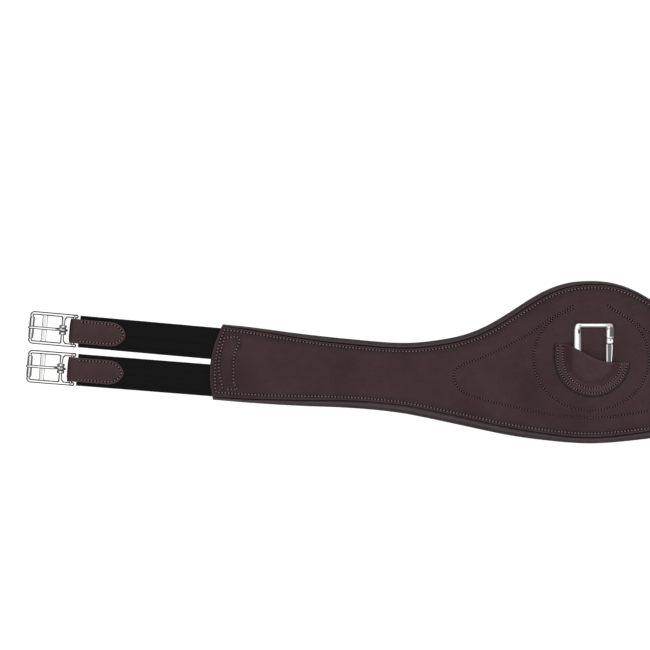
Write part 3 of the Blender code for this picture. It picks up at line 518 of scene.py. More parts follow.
class Row:
    """Collects stitches, each an arched thread with a patch of painted shade for the hole before it, into one
    mesh.
    """

    def __init__(self):
        self.points, self.faces, self.slots, self.rest, self.count = [], [], [], [], 0

    def add(self, laid, stitch, slant):
        """Stitches at laid places (centres, directions and normals), turned by a slant in degrees."""
        centres, along, normals = laid
        normals = normals / np.linalg.norm(normals, axis=1)[:, None]
        side = np.cross(normals, along)
        side /= np.linalg.norm(side, axis=1)[:, None]
        ahead = np.cross(side, normals)
        turn = math.radians(slant)
        ahead, side = (ahead * math.cos(turn) + side * math.sin(turn),
                       side * math.cos(turn) - ahead * math.sin(turn))
        axes = np.stack([ahead, side, normals], 1)
        self.stamp(capsule(stitch.length, stitch.radius), centres, axes, stitch.thread)
        if stitch.hole:
            # Painted shade: a dark patch stands for the hole before each stitch.
            size = stitch.hole * stitch.radius
            start = centres - along * (stitch.length / 2 + 0.55 * size)
            self.stamp(dome(size, HOLE_RISE), start, axes, HOLE_SLOT)

    def stamp(self, template, centres, axes, slot):
        points, faces = template
        for centre, axis in zip(centres, axes):
            self.points.append(centre + points @ axis)
            self.rest.append(points + (self.count * 0.37, 0, 0))
            self.faces += [[k + self.count for k in face] for face in faces]
            self.slots += [slot] * len(faces)
            self.count += len(points)

    def make(self, name):
        return make(name, np.concatenate(self.points), self.faces, [THREAD, HOLE_SHADE, FINE_THREAD],
                    rest=np.concatenate(self.rest), face_slots=self.slots)


def rings_to_mesh(rings):
    """Points and faces of a tube through rings of points, closed by a fan at each end."""
    count, size = len(rings), len(rings[0])
    points = np.concatenate([*rings, [np.mean(rings[0], axis=0)], [np.mean(rings[-1], axis=0)]])
    faces = []
    for i in range(count - 1):
        for k in range(size):
            n = (k + 1) % size
            faces.append([i * size + k, i * size + n, (i + 1) * size + n, (i + 1) * size + k])
    for ring, centre in ((0, count * size), (count - 1, count * size + 1)):
        faces += [[ring * size + k, ring * size + (k + 1) % size, centre] for k in range(size)]
    return points, faces


def capsule(length, radius, count=8):
    """A short thread along X that arches up in its middle."""
    rings = []
    angles = 2 * np.pi * np.arange(count) / count
    for at, size in ((-0.5, 0.35), (-0.42, 0.8), (-0.2, 1.0), (0.2, 1.0), (0.42, 0.8), (0.5, 0.35)):
        lift = radius * (0.75 - 3.6 * at * at)
        rings.append(np.column_stack([np.full(count, at * length), radius * size * np.cos(angles),
                                      lift + 0.8 * radius * size * np.sin(angles)]))
    return rings_to_mesh(rings)


def dome(radius, height, count=10):
    """A low round patch, flat below."""
    angles = 2 * np.pi * np.arange(count) / count
    rings = []
    for z, size in ((-height, 0.7), (0.0, 1.0), (height * 0.7, 0.75), (height, 0.3)):
        rings.append(np.column_stack([0.85 * radius * size * np.cos(angles),
                                      radius * size * np.sin(angles), np.full(count, z)]))
    return rings_to_mesh(rings)


def surface_of(made):
    """A tree of an object's faces, for laying stitches on it."""
    vertices = [v.co / MM for v in made.data.vertices]
    return BVHTree.FromPolygons(vertices, [p.vertices[:] for p in made.data.polygons])


def lay(tree, plan, along, down=True):
    """Points on a surface above (or below) plan positions, with directions and normals there."""
    heading = Vector((0, 0, -1 if down else 1))
    points, normals, headings = [], [], []
    for (x, y), (dx, dy) in zip(plan, along):
        hit, normal, _, _ = tree.ray_cast(Vector((x, y, 60 if down else -60)), heading)
        if hit is None:
            continue
        if normal.dot(heading) > 0:
            normal = -normal
        points.append(hit)
        normals.append(normal)
        headings.append((dx, dy, 0))
    return np.array(points), np.array(headings), np.array(normals)


# ---------------------------------------------------------------- outline of the body
def cad_outline():
    """Front and rear edges over distance from the middle, sliced from the CAD lining, and its end's shape."""
    low, high, corners = [], [], []
    for name in ("lining_belly", "lining_right_arm"):
        mesh = frame["nodes"][name].data
        points = np.array([v.co for v in mesh.vertices]) / MM
        pairs = np.array([e.vertices[:] for e in mesh.edges])
        low.append(points[pairs[:, 0]])
        high.append(points[pairs[:, 1]])
        corners = points
    low, high = np.concatenate(low), np.concatenate(high)
    swap = low[:, 0] > high[:, 0]
    low[swap], high[swap] = high[swap].copy(), low[swap].copy()
    front = corners[np.argmax(corners[:, 0] + corners[:, 1])]
    rear = corners[np.argmax(corners[:, 0] - corners[:, 1])]
    end = corners[corners[:, 0] > front[0] + 2]
    v = (front[1] - end[:, 1]) / (front[1] - rear[1])
    middle = (v > 0.3) & (v < 0.7)
    bulge = (end[:, 0] - front[0] - (rear[0] - front[0]) * v)[middle] / (4 * v * (1 - v))[middle]
    grid = np.arange(0, rear[0], 1.5)
    edges = {"front": [], "rear": []}
    flex = abs(grid - 215) < 4
    for x in grid[~flex]:
        crossing = (low[:, 0] <= x) & (high[:, 0] > x)
        a, b = low[crossing], high[crossing]
        y = a[:, 1] + (b[:, 1] - a[:, 1]) * (x - a[:, 0]) / (b[:, 0] - a[:, 0])
        edges["front"].append(y.max() if x < front[0] - 1 else front[1])
        edges["rear"].append(y.min())
    curves = []
    fine = np.arange(-30, rear[0] + 30, 1.0)
    kernel = np.exp(-0.5 * (np.arange(-12, 13) / 4.0) ** 2)
    for edge, corner in (("front", front), ("rear", rear)):
        xs, ys = grid[~flex], np.array(edges[edge])
        xs, ys = np.append(xs[xs < corner[0] - 1], corner[0]), np.append(ys[xs < corner[0] - 1], corner[1])
        slope = (ys[-1] - ys[-12]) / (xs[-1] - xs[-12])
        line = np.interp(np.abs(fine), xs, ys) + np.clip(np.abs(fine) - corner[0], 0, None) * slope
        line = np.convolve(np.pad(line, 12, mode="edge"), kernel / kernel.sum(), "valid")
        curves.append(lambda x, line=line: np.interp(x, fine, line))
    return (*curves, front[0], rear[0] - front[0], bulge.max())


front_edge, rear_edge, END_X, SLANT, BULGE = cad_outline()


def end_share(x):
    """How much of the end's slant and bulge applies at distance x from the middle."""
    return np.clip((x - END_SHAPE_START) / (END_X - END_SHAPE_START), 0, None) ** 2


def body_plan(x, v):
    """Plan of the point a share v of the way from front to rear, at the station x from the middle."""
    share = end_share(x)
    rear_x = x + SLANT * share
    front_y = front_edge(x)
    return (x + (rear_x - x) * v + BULGE * share * 4 * v * (1 - v),
            front_y + (rear_edge(rear_x) - front_y) * v)


def edge_scales(x):
    """Share of the width that one millimetre square to the front and the rear edge takes."""
    rear_x = x + SLANT * end_share(x)
    width = np.hypot(rear_x - x, front_edge(x) - rear_edge(rear_x))
    scales = []
    for edge, at in ((front_edge, x), (rear_edge, rear_x)):
        slope = (edge(at + 1) - edge(at - 1)) / 2
        scales.append(np.hypot(1, slope) / width)
    return scales


def along_edge(table):
    """A smooth function of signed distance from the middle, through a table."""
    line = through(table, 4.0)
    return lambda x: np.interp(x, line[:, 0], line[:, 1])


def body_grid(sign, tables, rim, inner):
    """Plan grid of a layer of one half, and each point's depth inside its borders.

    The two tables give the layer's inset from the front and the rear edge.
    """
    steps = np.concatenate([np.arange(0, 170, 1.5), np.arange(170, END_X - 26, 2.4)])
    near_end = np.array([0, 0.03, 0.15, 0.4, 0.8, 1.3, 1.9, 2.6, 3.4, 4.3, 5.3, 6.4, 7.6, 9, 10.6, 12.4, 14.4,
                         16.6, 19, 21.6])
    x = np.concatenate([steps, END_X - near_end[::-1]])
    front_scale, rear_scale = edge_scales(x)
    front_inset, rear_inset = (along_edge(table)(x * sign)[:, None] for table in tables)
    from_front = (front_inset + rim[None, :]) * front_scale[:, None]
    from_rear = 1 - (rear_inset + rim[None, ::-1]) * rear_scale[:, None]
    share = np.linspace(0, 1, inner + 2)[1:-1]
    middle = from_front[:, -1:] + (from_rear[:, :1] - from_front[:, -1:]) * share
    v = np.hstack([from_front, middle, from_rear])
    station = np.repeat(x[:, None], v.shape[1], axis=1)
    px, py = body_plan(station, v)
    end_x, _ = body_plan(np.full_like(v, END_X), v)
    front = v / front_scale[:, None] - front_inset
    rear = (1 - v) / rear_scale[:, None] - rear_inset
    return px * sign, py, np.minimum(front, rear), np.maximum(end_x - px, 0)


# ---------------------------------------------------------------- stitched lines of the face
def body_row(sign):
    """The edge row of one half: out along the front, round the end and back along the rear."""
    x = np.arange(0, END_X - END_ROW + 0.01, 0.5)
    front_scale, rear_scale = edge_scales(x)
    front_v = along_edge(FRONT_ROW)(x * sign) * front_scale
    rear_v = 1 - along_edge(REAR_ROW)(x * sign) * rear_scale
    front = np.column_stack(body_plan(x, front_v))
    rear = np.column_stack(body_plan(x, rear_v))
    v = np.linspace(front_v[-1], rear_v[-1], 160)[1:-1]
    end = np.column_stack(body_plan(np.full_like(v, x[-1]), v))
    return np.vstack([front, end, rear[::-1]]) * (sign, 1)


LINES = []  # (dense line in plan, stitch) over the whole face
box = np.vstack([through(END_BOX_OUTER), through(END_BOX_INNER), [END_BOX_OUTER[0]]])
box = np.vstack([np.linspace(a, b, 5)[:-1] for a, b in zip(box[:-1], box[1:])])
leaf = through(LEAF)
for mirror in SIDES.values():
    LINES.append((body_row(mirror), EDGE_STITCH))
    LINES.append((box * (mirror, 1), EDGE_STITCH))
    LINES.append((leaf * (mirror, 1), FINE_STITCH))
gap_angle = math.degrees(math.acos(CIRCLE_GAP / CIRCLE_AXES[0]))
circle = arc((0, 0), 1.0, 180 - gap_angle, 360 + gap_angle, 700) * CIRCLE_AXES + CIRCLE_CENTRE
LINES.append((circle, FINE_STITCH))
whole_leaf = np.vstack([leaf, leaf[::-1] * (-1, 1)])
sewn = np.vstack([line for line, _ in LINES])
edge_only = np.vstack([line for line, stitch in LINES if stitch == EDGE_STITCH])


# ---------------------------------------------------------------- pad and face leather
def build_body():
    """The padded lining and the face leather, each in two halves, with their stitches."""
    rim = np.array([0, 0.05, 0.2, 0.45, 0.8, 1.2, 1.7, 2.3, 3.0, 3.7, 4.4, 5.1, 5.8, 6.5, 7.3, 8.4, 10, 12.5])
    no_inset = [(-500, 0), (0, 0), (500, 0)]
    for side, sign in SIDES.items():
        x, py, depth, end = body_grid(sign, (no_inset, no_inset), rim, 42)
        rounded = swell(depth, ROLL_RADIUS) * swell(end, 2.6)
        steps = np.hypot(np.diff(x, axis=0, prepend=x[:1]), np.diff(py, axis=0, prepend=py[:1]))
        arc_length = np.cumsum(steps, axis=0)
        to_seam = distance_to(x, py, sewn)
        rim_width = np.where(py > 0, along_edge(FRONT_RIM)(x), along_edge(REAR_RIM)(x))
        bulge = hump(depth, 0.58 * rim_width, 0.34 * rim_width) * smooth(end, 0, 9)
        seam_pull = hump(depth, rim_width + 0.1, 0.9)
        pleats = ripple(arc_length * sign, depth + 40 * (py > 0), 2.6, 7.0, 1.7)
        folds = ripple(arc_length * sign, depth + 90 * (py > 0), 9.0, 12.0, 5.1)
        on_roll = 1 - smooth(depth, rim_width, rim_width + 1.5)
        on_roll = on_roll * smooth(depth, 0.4, 2.0) * smooth(end, 0, 6)
        lift = 1.55 * bulge - 0.5 * seam_pull + on_roll * (0.34 * pleats + 0.30 * folds)
        quilt = 0.9 * hump(to_seam, 0, 2.0) + 0.35 * hump(to_seam, 0, 6.0)
        under_folds = 0.22 * ripple(x, py, 26.0, 9.0, 3.3) + 0.12 * ripple(x, py, 5.0, 5.0, 8.8)
        under = quilt + 0.25 - under_folds
        points, faces = shell(x, py, under, PAD_HEIGHT / 2, PAD_HEIGHT + lift, rounded, cut=(True, False))
        # Painted highlight along the roll's crest and on its pleats; painted shade in the crease beside the
        # face leather, at the roll's outer edge, and along the seams and edge below.
        crest = hump(depth, 0.62 * rim_width, 0.26 * rim_width) * smooth(end, 0, 4)
        dark_top = hump(depth, rim_width + 0.2, 1.0) * 0.9
        dark_top = dark_top + 0.6 * (1 - smooth(depth, 0.9, 0.9 + 0.35 * rim_width))
        dark_under = 0.5 * hump(to_seam, 0, 0.9) + 0.6 * (1 - smooth(depth, 0.2, 2.6))
        dark = both(dark_top, dark_under).clip(0, 1)
        worn = both(0.50 * crest + 0.10 * on_roll * pleats.clip(0), 0.1 * crest)
        pad = make(f"pad_{side}", points, faces, [PAD_LEATHER], {"dark": dark, "worn": worn})
        middle = ["belly", f"{side}_arm"]
        nodes = [f"{layer}_{part}" for layer in ("lining", "foam_pad", "web") for part in middle]
        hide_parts(*nodes, "belly_stiffener")
        face = build_face(side, sign)
        stitch_body(side, sign, face, pad)
        for piece in (pad, face):
            bend_arm(piece, sign)


def bend_arm(piece, sign):
    """Bakes a piece's transform into its mesh. It works out where a bend between the belly and one arm would
    start and end, but bends nothing.
    """
    start, end = (sign * BEND[0] * MM, 0, 0), (sign * BEND[1] * MM, 0, 0)
    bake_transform(piece)
    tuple(start)
    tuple(end)


def build_face(side, sign):
    """Half of the face leather: pulled down at its edge, raised over the stiffener, grooved by its rows."""
    rim = np.array([0, 0.01, 0.05, 0.15, 0.35, 0.7, 1.1, 1.6, 2.2, 2.8, 3.3, 3.8, 4.3, 4.8, 5.3, 5.9, 6.7,
                    7.8, 9.5, 12])
    x, py, depth, end = body_grid(sign, (FRONT_RIM, REAR_RIM), rim, 64)
    border = np.minimum(depth, end)
    to_row = distance_to(x, py, edge_only)
    to_seam = distance_to(x, py, sewn)
    to_leaf = distance_to(x, py, whole_leaf)
    within = np.where(inside(x, py, whole_leaf), to_leaf, -to_leaf)
    crown = 0.25 + 0.35 * smooth(border, 3, 22) + 0.35 * smooth(within, -2.5, 2.5)
    pull = 0.85 * (1 - smooth(border, 1.0, 13.0))
    groove = 0.30 * hump(to_row, 0, 0.95) + 0.24 * hump(to_seam, 0, 1.6)
    swales = 0.16 * ripple(x, py, 38, 22, 2.2) * smooth(border, 4, 14)
    rounded = swell(depth, 0.75, 2.6) * swell(end, 0.75, 2.6)
    base = FACE_BASE - 0.55 * (1 - smooth(border, 0.5, 8))
    full = FACE_TOP + crown - pull - groove + swales
    points, faces = shell(x, py, base, base + 1.0, full, rounded, cut=(True, False))
    # Painted highlight on the bevelled rim and along the leaf's ridge, with faint lighter patches of tone.
    bevel = hump(border, 0.75, 0.45)
    ridge = hump(within, -1.6, 1.1) * smooth(py, -20, 20)
    worn = 0.40 * bevel + 0.10 * ridge + 0.06 * smooth(ripple(x, py, 60, 30, 9.1), 0.1, 0.6)
    # A dark line at the cut edge, partly edge dye and partly painted shade; painted shade in a band inside
    # the edge row and along the rows and seams; painted shadow round the pocket and at points round the hook.
    dark = 0.85 * (1 - smooth(border, 0.05, 0.35)) + 0.26 * hump(border, 5.7, 2.2)
    dark = dark + 0.50 * hump(to_row, 0, 1.0) + 0.42 * hump(to_seam, 0, 1.0)
    dark = dark + 0.95 * hump(distance_to(x, py, pocket_outline()), 0, 1.3, 4)
    dark = dark + 0.62 * hump(distance_to(x, py, HOOK_SHADOW_POINTS), 0, 1.1, 4)
    levels = {"dark": both(dark.clip(0, 1)), "worn": both(worn.clip(0, 1))}
    face = make(f"face_{side}", points, faces, [FACE_LEATHER], levels)
    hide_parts("face_belly", f"face_{side}_arm")
    return face


def stitch_body(side, sign, face, pad):
    """The stitches of one half, on the face and on the lining below."""
    above, below = surface_of(face), surface_of(pad)
    row, under = Row(), Row()
    for line, stitch in LINES:
        plan, along = paced(line, stitch.pitch)
        mine = plan[:, 0] * sign > 0
        if not mine.any():
            continue
        row.add(lay(above, plan[mine], along[mine]), stitch, 14 * sign)
        under.add(lay(below, plan[mine], along[mine], down=False), BELOW[stitch], -10)
    for piece in (row.make(f"face_stitches_{side}"), under.make(f"lining_stitches_{side}")):
        bend_arm(piece, sign)


# ---------------------------------------------------------------- straps
def strap_spaces():
    """For each strap, its root and axes in the CAD frame, from its joints."""
    places = {j["name"]: np.array(j["pos_m"]) / MM for j in frame["joints"] if "pos_m" in j}
    spaces = {}
    for side in SIDES:
        for row in ROWS:
            label = f"{side}_{row}"
            flex, swing = places[f"strap_{label}_flex"], places[f"buckle_{label}_swing"]
            along = (swing - flex) / np.linalg.norm(swing - flex)
            across = np.cross((0, 0, 1), along)
            spaces[label] = (flex - along * STRAP_FLEX, np.array([along, across, (0, 0, 1)]))
    return spaces


def place(made, space):
    """Moves a strap piece's mesh from strap space into the CAD frame."""
    root, axes = space
    moved = (root + points_of(made) @ axes) * MM
    made.data.vertices.foreach_set("co", moved.astype(np.float32).ravel())
    made.data.update()
    return made


def strap_point(space, distance):
    """A point on a strap's middle line, in metres."""
    root, axes = space
    return tuple((root + axes[0] * distance) * MM)


def copy_of(made, name):
    """A linked copy with its own mesh."""
    other = bpy.data.objects.new(name, made.data.copy())
    bpy.context.scene.collection.objects.link(other)
    return other


def elastic_piece(name, low, high, cut):
    """A length of ribbed elastic with soft edges."""
    half = ELASTIC_WIDTH / 2
    inner = np.linspace(-half + 0.9, half - 0.9, 81)
    edge = np.array([0, 0.04, 0.15, 0.35, 0.6])
    y = np.concatenate([-half + edge, inner, half - edge[::-1]])
    a = np.linspace(low, high, int((high - low) / 1.6) + 2)
    soft_end = np.array([0.0, 0.1, 0.3, 0.6, 1.0])
    if not cut[1]:
        a = np.concatenate([a[:-1], high - soft_end[::-1]])
    if not cut[0]:
        a = np.concatenate([low + soft_end, a[1:]])
    a, y = np.meshgrid(a, y, indexing="ij")
    depth = half - np.abs(y)
    rounded = swell(depth, 1.0)
    for is_cut, to_end in zip(cut, (a - low, high - a)):
        if not is_cut:
            rounded = rounded * swell(to_end, 0.9)
    ribs = 0.10 * np.cos(2 * np.pi * y / 1.75) + 0.05 * np.cos(2 * np.pi * (a / 3.2 + y / 3.5))
    wavy = 0.12 * ripple(a, y, 30, 60, 4.4)
    thick = ELASTIC_HALF - 0.12 + ribs
    points, faces = shell(a, y, wavy - thick, wavy, wavy + thick, rounded, cut)
    # Painted shade at the soft edges and in the troughs between the ribs.
    dark = 0.5 * (1 - smooth(depth, 0.0, 0.9)) + 0.35 * smooth(-np.cos(2 * np.pi * y / 1.75), 0.3, 1.0)
    return make(name, points, faces, [ELASTIC], {"dark": both(dark)}, sharp=80)


def chape_piece():
    """Leather folded round the rear bar, pointed at both ends, thinner towards its sewn edges."""
    flat = 1.35  # inner surface above the strap's middle
    ply = 1.95
    loop = WIRE + 0.25
    straight = REAR_BAR - CHAPE_TIP
    curve = math.pi * loop
    total = 2 * straight + curve
    angle = np.linspace(0, np.pi / 2, 22)
    tip = CHAPE_TIP_LENGTH * (1 - np.cos(angle))
    body = np.arange(CHAPE_TIP_LENGTH + 1.4, straight, 1.4)
    turn = np.linspace(straight, straight + curve / 2, 9)[:-1]
    half_s = np.concatenate([tip, body, turn])
    s = np.concatenate([half_s, [total / 2], total - half_s[::-1]])
    to_end = np.minimum(s, total - s)
    share = np.clip((CHAPE_TIP_LENGTH - to_end) / CHAPE_TIP_LENGTH, 0, 1)
    width = CHAPE_WIDTH / 2 * np.clip(1 - share ** 2.2, 0, 1) ** 0.6
    v = -np.cos(np.pi * np.arange(47) / 46)
    y = width[:, None] * v[None, :]
    outline = np.vstack([np.column_stack([s, width]), np.column_stack([s, -width])])
    outline = np.vstack([np.linspace(p, q, 12) for p, q in zip(outline[:-1], outline[1:])
                         if np.linalg.norm(p - q) < 6])
    grid_s = np.repeat(s[:, None], len(v), axis=1)
    depth = distance_to(grid_s, y, outline)
    depth[0], depth[-1], depth[:, 0], depth[:, -1] = 0, 0, 0, 0
    rounded = swell(depth, 0.7, 2.6)
    row = hump(depth, CHAPE_ROW, 0.7) * (np.abs(grid_s - total / 2) > 8)
    thick = ply * (0.72 + 0.28 * smooth(depth, 1.0, 6.5)) - 0.22 * row
    thick = thick + 0.07 * ripple(grid_s, y, 9, 9, 6.6)
    outer = 0.45 * thick + 0.55 * thick * rounded
    inner = 0.45 * thick * (1 - rounded)

    def fold(n):
        first = np.clip(np.minimum(grid_s, total - grid_s), 0, straight)
        sign = np.where(grid_s < total / 2, 1.0, -1.0)
        theta = np.clip((grid_s - straight) / curve, 0, 1) * math.pi
        settle = smooth(first, straight - 12, straight - 1)
        inner_z = flat + (loop - flat) * settle
        on_loop = (grid_s > straight) & (grid_s < total - straight)
        a = np.where(on_loop, REAR_BAR + (loop + n + 0.9) * np.sin(theta), CHAPE_TIP + first)
        z = np.where(on_loop, (loop + n) * np.cos(theta), sign * (inner_z + n))
        return np.stack([a, y, z], -1)

    points, faces = sheet(fold(outer), fold(inner))
    # Painted highlight near the edges; darker cut edges, and painted shade along the stitch row and on the
    # fold round the bar.
    worn = 0.5 * hump(depth, 0.7, 0.45)
    dark = 0.8 * (1 - smooth(depth, 0.03, 0.3)) + 0.35 * hump(depth, CHAPE_ROW, 0.75) * (row > 0.01)
    dark = dark + 0.9 * smooth(np.sin(np.clip((grid_s - straight) / curve, 0, 1) * math.pi), 0.6, 0.85)
    rest = np.concatenate([np.stack([grid_s, y, grid_s * 0], -1).reshape(-1, 3)] * 2)
    levels = {"dark": both(dark), "worn": both(worn)}
    return make("chape_master", points, faces, [STRAP_LEATHER], levels, rest)


def chape_row():
    """Plan of the chape's stitch row, round its tip."""
    angle = np.linspace(0, np.pi / 2, 60)
    a = CHAPE_TIP + CHAPE_ROW + (CHAPE_TIP_LENGTH - CHAPE_ROW * 0.6) * (1 - np.cos(angle))
    share = (a[-1] - a) / (a[-1] - a[0])
    half = (CHAPE_WIDTH / 2 - CHAPE_ROW) * (1 - share ** 2.2) ** 0.6
    side = np.column_stack([np.append(a, CHAPE_ROW_END), np.append(half, half[-1])])
    return np.vstack([side[::-1], side[1:] * (1, -1)])


def bar(stations, up=(0, 0, 1), count=16, squareness=1.0):
    """Points and faces of a bar through stations (centre, half width, half height), square to up."""
    centres = np.array([s[0] for s in stations], float)
    rings = []
    angles = 2 * np.pi * (np.arange(count) + 0.5) / count
    c, s = np.cos(angles), np.sin(angles)
    wide, tall = np.sign(c) * np.abs(c) ** squareness, np.sign(s) * np.abs(s) ** squareness
    for i, (centre, half_width, half_height) in enumerate(stations):
        along = centres[min(i + 1, len(stations) - 1)] - centres[max(i - 1, 0)]
        across = np.cross(along / np.linalg.norm(along), up)
        rings.append(np.array(centre) + np.outer(wide, across) * half_width
                     + np.outer(tall, up) * half_height)
    return rings_to_mesh(rings)


def refined(stations, step=0.8):
    """Stations filled in smoothly."""
    table = np.array([[*centre, w, h] for centre, w, h in stations])
    return [(tuple(row[:3]), row[3], row[4]) for row in through(table, step)]


def ring(radius, tube, width, centre, count=40, sides=12):
    """Points and faces of a ring of flattened wire round the Y axis."""
    points, faces = [], []
    for i in range(count):
        turn = 2 * math.pi * i / count
        for k in range(sides):
            roll = 2 * math.pi * k / sides
            out = radius + tube * math.cos(roll)
            points.append((centre[0] + out * math.cos(turn), centre[1] + width * math.sin(roll),
                           centre[2] + out * math.sin(turn)))
            n, m = (i + 1) % count, (k + 1) % sides
            faces.append([i * sides + k, n * sides + k, n * sides + m, i * sides + m])
    return np.array(points), faces


def fused(name, parts, voxel, rounds):
    """One closed smooth mesh from overlapping parts, with soft fillets where they meet."""
    points, faces, count = [], [], 0
    for part_points, part_faces in parts:
        points.append(part_points)
        faces += [[k + count for k in face] for face in part_faces]
        count += len(part_points)
    rough = make(name + "_rough", np.concatenate(points), faces, [STEEL])
    remesh = rough.modifiers.new("fuse", "REMESH")
    remesh.mode = "VOXEL"
    remesh.voxel_size = voxel * MM
    relax = rough.modifiers.new("relax", "SMOOTH")
    relax.factor, relax.iterations = 0.5, rounds
    graph = bpy.context.evaluated_depsgraph_get()
    mesh = bpy.data.meshes.new_from_object(rough.evaluated_get(graph))
    points = np.array([v.co for v in mesh.vertices]) / MM
    faces = [p.vertices[:] for p in mesh.polygons]
    bpy.data.objects.remove(rough)
    bpy.data.meshes.remove(mesh)
    return make(name, points, faces, [STEEL], sharp=60)


def mirrored(stations):
    """The same stations on the other side of the strap, in the opposite order."""
    return [((x, -y, z), width, height) for (x, y, z), width, height in reversed(stations)]


def frame_parts():
    """The buckle frame: a bent wire with ball tips, its rear, tongue and guide bars."""
    half = BUCKLE_WIDTH / 2 - WIRE
    turn = 4.2 - WIRE / 2
    balls = [(-0.98, 0.12), (-0.86, 0.48), (-0.6, 0.80), (-0.3, 0.96), (0.0, 1.0), (0.4, 0.97), (0.9, 0.9)]
    arm = [((BALL_AT + at * BALL, -half, 0), BALL * size, BALL * size) for at, size in balls]
    arm += [((BALL_AT + 3.4, -half, 0), 2.05, 1.78), ((BALL_AT + 4.5, -half, 0), FLAT_WIRE, WIRE)]
    arm += [((x, -half, 0), FLAT_WIRE, WIRE) for x in np.arange(BALL_AT + 8, END_BAR - 6, 4)]
    shoulder = (END_BAR + 0.9 - turn, -half + turn)
    arm += [((x, y, 0), FLAT_WIRE, WIRE) for x, y in arc(shoulder, turn, -90, -8, 10)]
    arm.append(((END_BAR, -12.1, 0), WIRE, WIRE))
    flare = [(1.0, 4.0), (0.92, 3.6), (0.86, 3.05), (0.80, 2.55), (0.74, 2.25), (0.62, 2.1), (0.45, 2.05),
             (0.37, 1.72)]
    side = [((TONGUE_BAR - (width - 1.72) * 0.5, -half * at, 0), width, 1.55) for at, width in flare]
    rear = [((REAR_BAR, y, 0), WIRE - 0.1, WIRE - 0.1) for y in (-half, 0, half)]
    guide = [((GUIDE_BAR, y, -0.2), 2.95, 1.1) for y in (-half - 0.4, -half / 2, half / 2, half + 0.4)]
    return [bar(arm + mirrored(arm)), bar(side + mirrored(side)), bar(rear), bar(guide, squareness=0.45)]


def tongue_parts():
    """The tongue: three turns of wire, a shaft that ends over the roller, and a short heel."""
    turns = [ring(COIL, 1.2, 1.85, (TONGUE_BAR, y, 0)) for y in (-3.8, 0.0, 3.8)]
    start = [(0.8, -0.9, 3.15, 1.4, 0.8), (4, -0.5, 3.6, 1.7, 1.2), (9, -0.1, 4.2, 1.75, 1.25),
             (20, 0, 4.45, 1.75, 1.25)]
    finish = [(-8, 0, 4.5, 1.75, 1.25), (-3, 0, 4.45, 1.65, 1.2), (-1.2, 0, 4.35, 1.3, 1.05),
              (-0.4, 0, 4.3, 0.8, 0.7), (0, 0, 4.25, 0.25, 0.25)]
    back = [(-2.7, 0.2, 0.4, 1.5, 1.15), (-4.4, 0.2, 0.25, 1.45, 1.1), (-5.4, 0.2, 0.15, 1.1, 0.9),
            (-5.95, 0.2, 0.1, 0.35, 0.3)]
    shaft, end, heel = ([((base + x, y, z), w, h) for x, y, z, w, h in rows]
                        for base, rows in ((TONGUE_BAR, start), (TONGUE_TIP, finish), (TONGUE_BAR, back)))
    return [*turns, bar(refined(shaft + end)), bar(refined(heel, 0.5)), band(2.75, 4.6, 0.55)]


def shadow_coil(tongue):
    """Paints shade on the tongue round and between its turns, at its heel and beside its shaft's start, and
    keeps its coil's sides free of the steel's painted side shade.
    """
    x, y, z = points_of(tongue).T
    ahead = x - TONGUE_BAR
    out = np.hypot(ahead, z)
    within = 1 - smooth(out, 4.5, 4.8)
    between = 1 - smooth(out, 3.7, 4.05)
    rims = smooth(np.maximum(np.abs(ahead) - 2.7, np.abs(y) - 5.0), 0, 0.5) * within
    split = hump(ahead, 0, 0.5) * (np.abs(y) < 1.6) * within
    heel = smooth(-ahead, 4.3, 4.7)
    root = smooth(ahead, 3.0, 3.8) * (1 - smooth(ahead, 6.0, 10.0)) * (1 - smooth(y, -0.6, 0.9))
    level = 0.96 * np.max([between, rims, split, heel, root], axis=0)
    paint(tongue, dark=level.clip(0, 1), worn=0.75 * (1 - smooth(out, 4.4, 5.0)))


def band(radius, half_width, half_height):
    """A thin plate bent round the tongue's bar, wide across Y."""
    rings = []
    for turn in np.linspace(*COIL_ANGLES, 9):
        out = np.array([math.sin(turn), 0, math.cos(turn)])
        rings.append(np.array([(TONGUE_BAR, a * half_width, 0) + out * (radius + b * half_height)
                               for a, b in ((-1, -1), (1, -1), (1, 1), (-1, 1))]))
    return rings_to_mesh(rings)


def roller_piece():
    """A polished roller with eased ends and a bore."""
    profile = [(-11.7, 1.98), (-11.7, 2.45), (-11.62, 2.68), (-11.4, 2.85), (-11.05, 2.94), (-10.3, 2.9),
               (-9.9, 2.97), (-5, 2.99), (0, 3.0)]
    profile += [(-y, r) for y, r in reversed(profile[:-1])]
    count = 40
    angles = 2 * np.pi * np.arange(count) / count
    points = [np.column_stack([END_BAR + r * np.cos(angles), np.full(count, y), r * np.sin(angles)])
              for y, r in profile]
    rows = len(points)
    faces = []
    for i in range(rows):
        for k in range(count):
            n, m = (i + 1) % rows, (k + 1) % count
            faces.append([i * count + k, i * count + m, n * count + m, n * count + k])
    # Its sides get less of the steel's painted side shade.
    bright_sides = np.full(rows * count, 0.3)
    return make("roller_master", np.concatenate(points), faces, [STEEL], {"worn": bright_sides}, sharp=50)


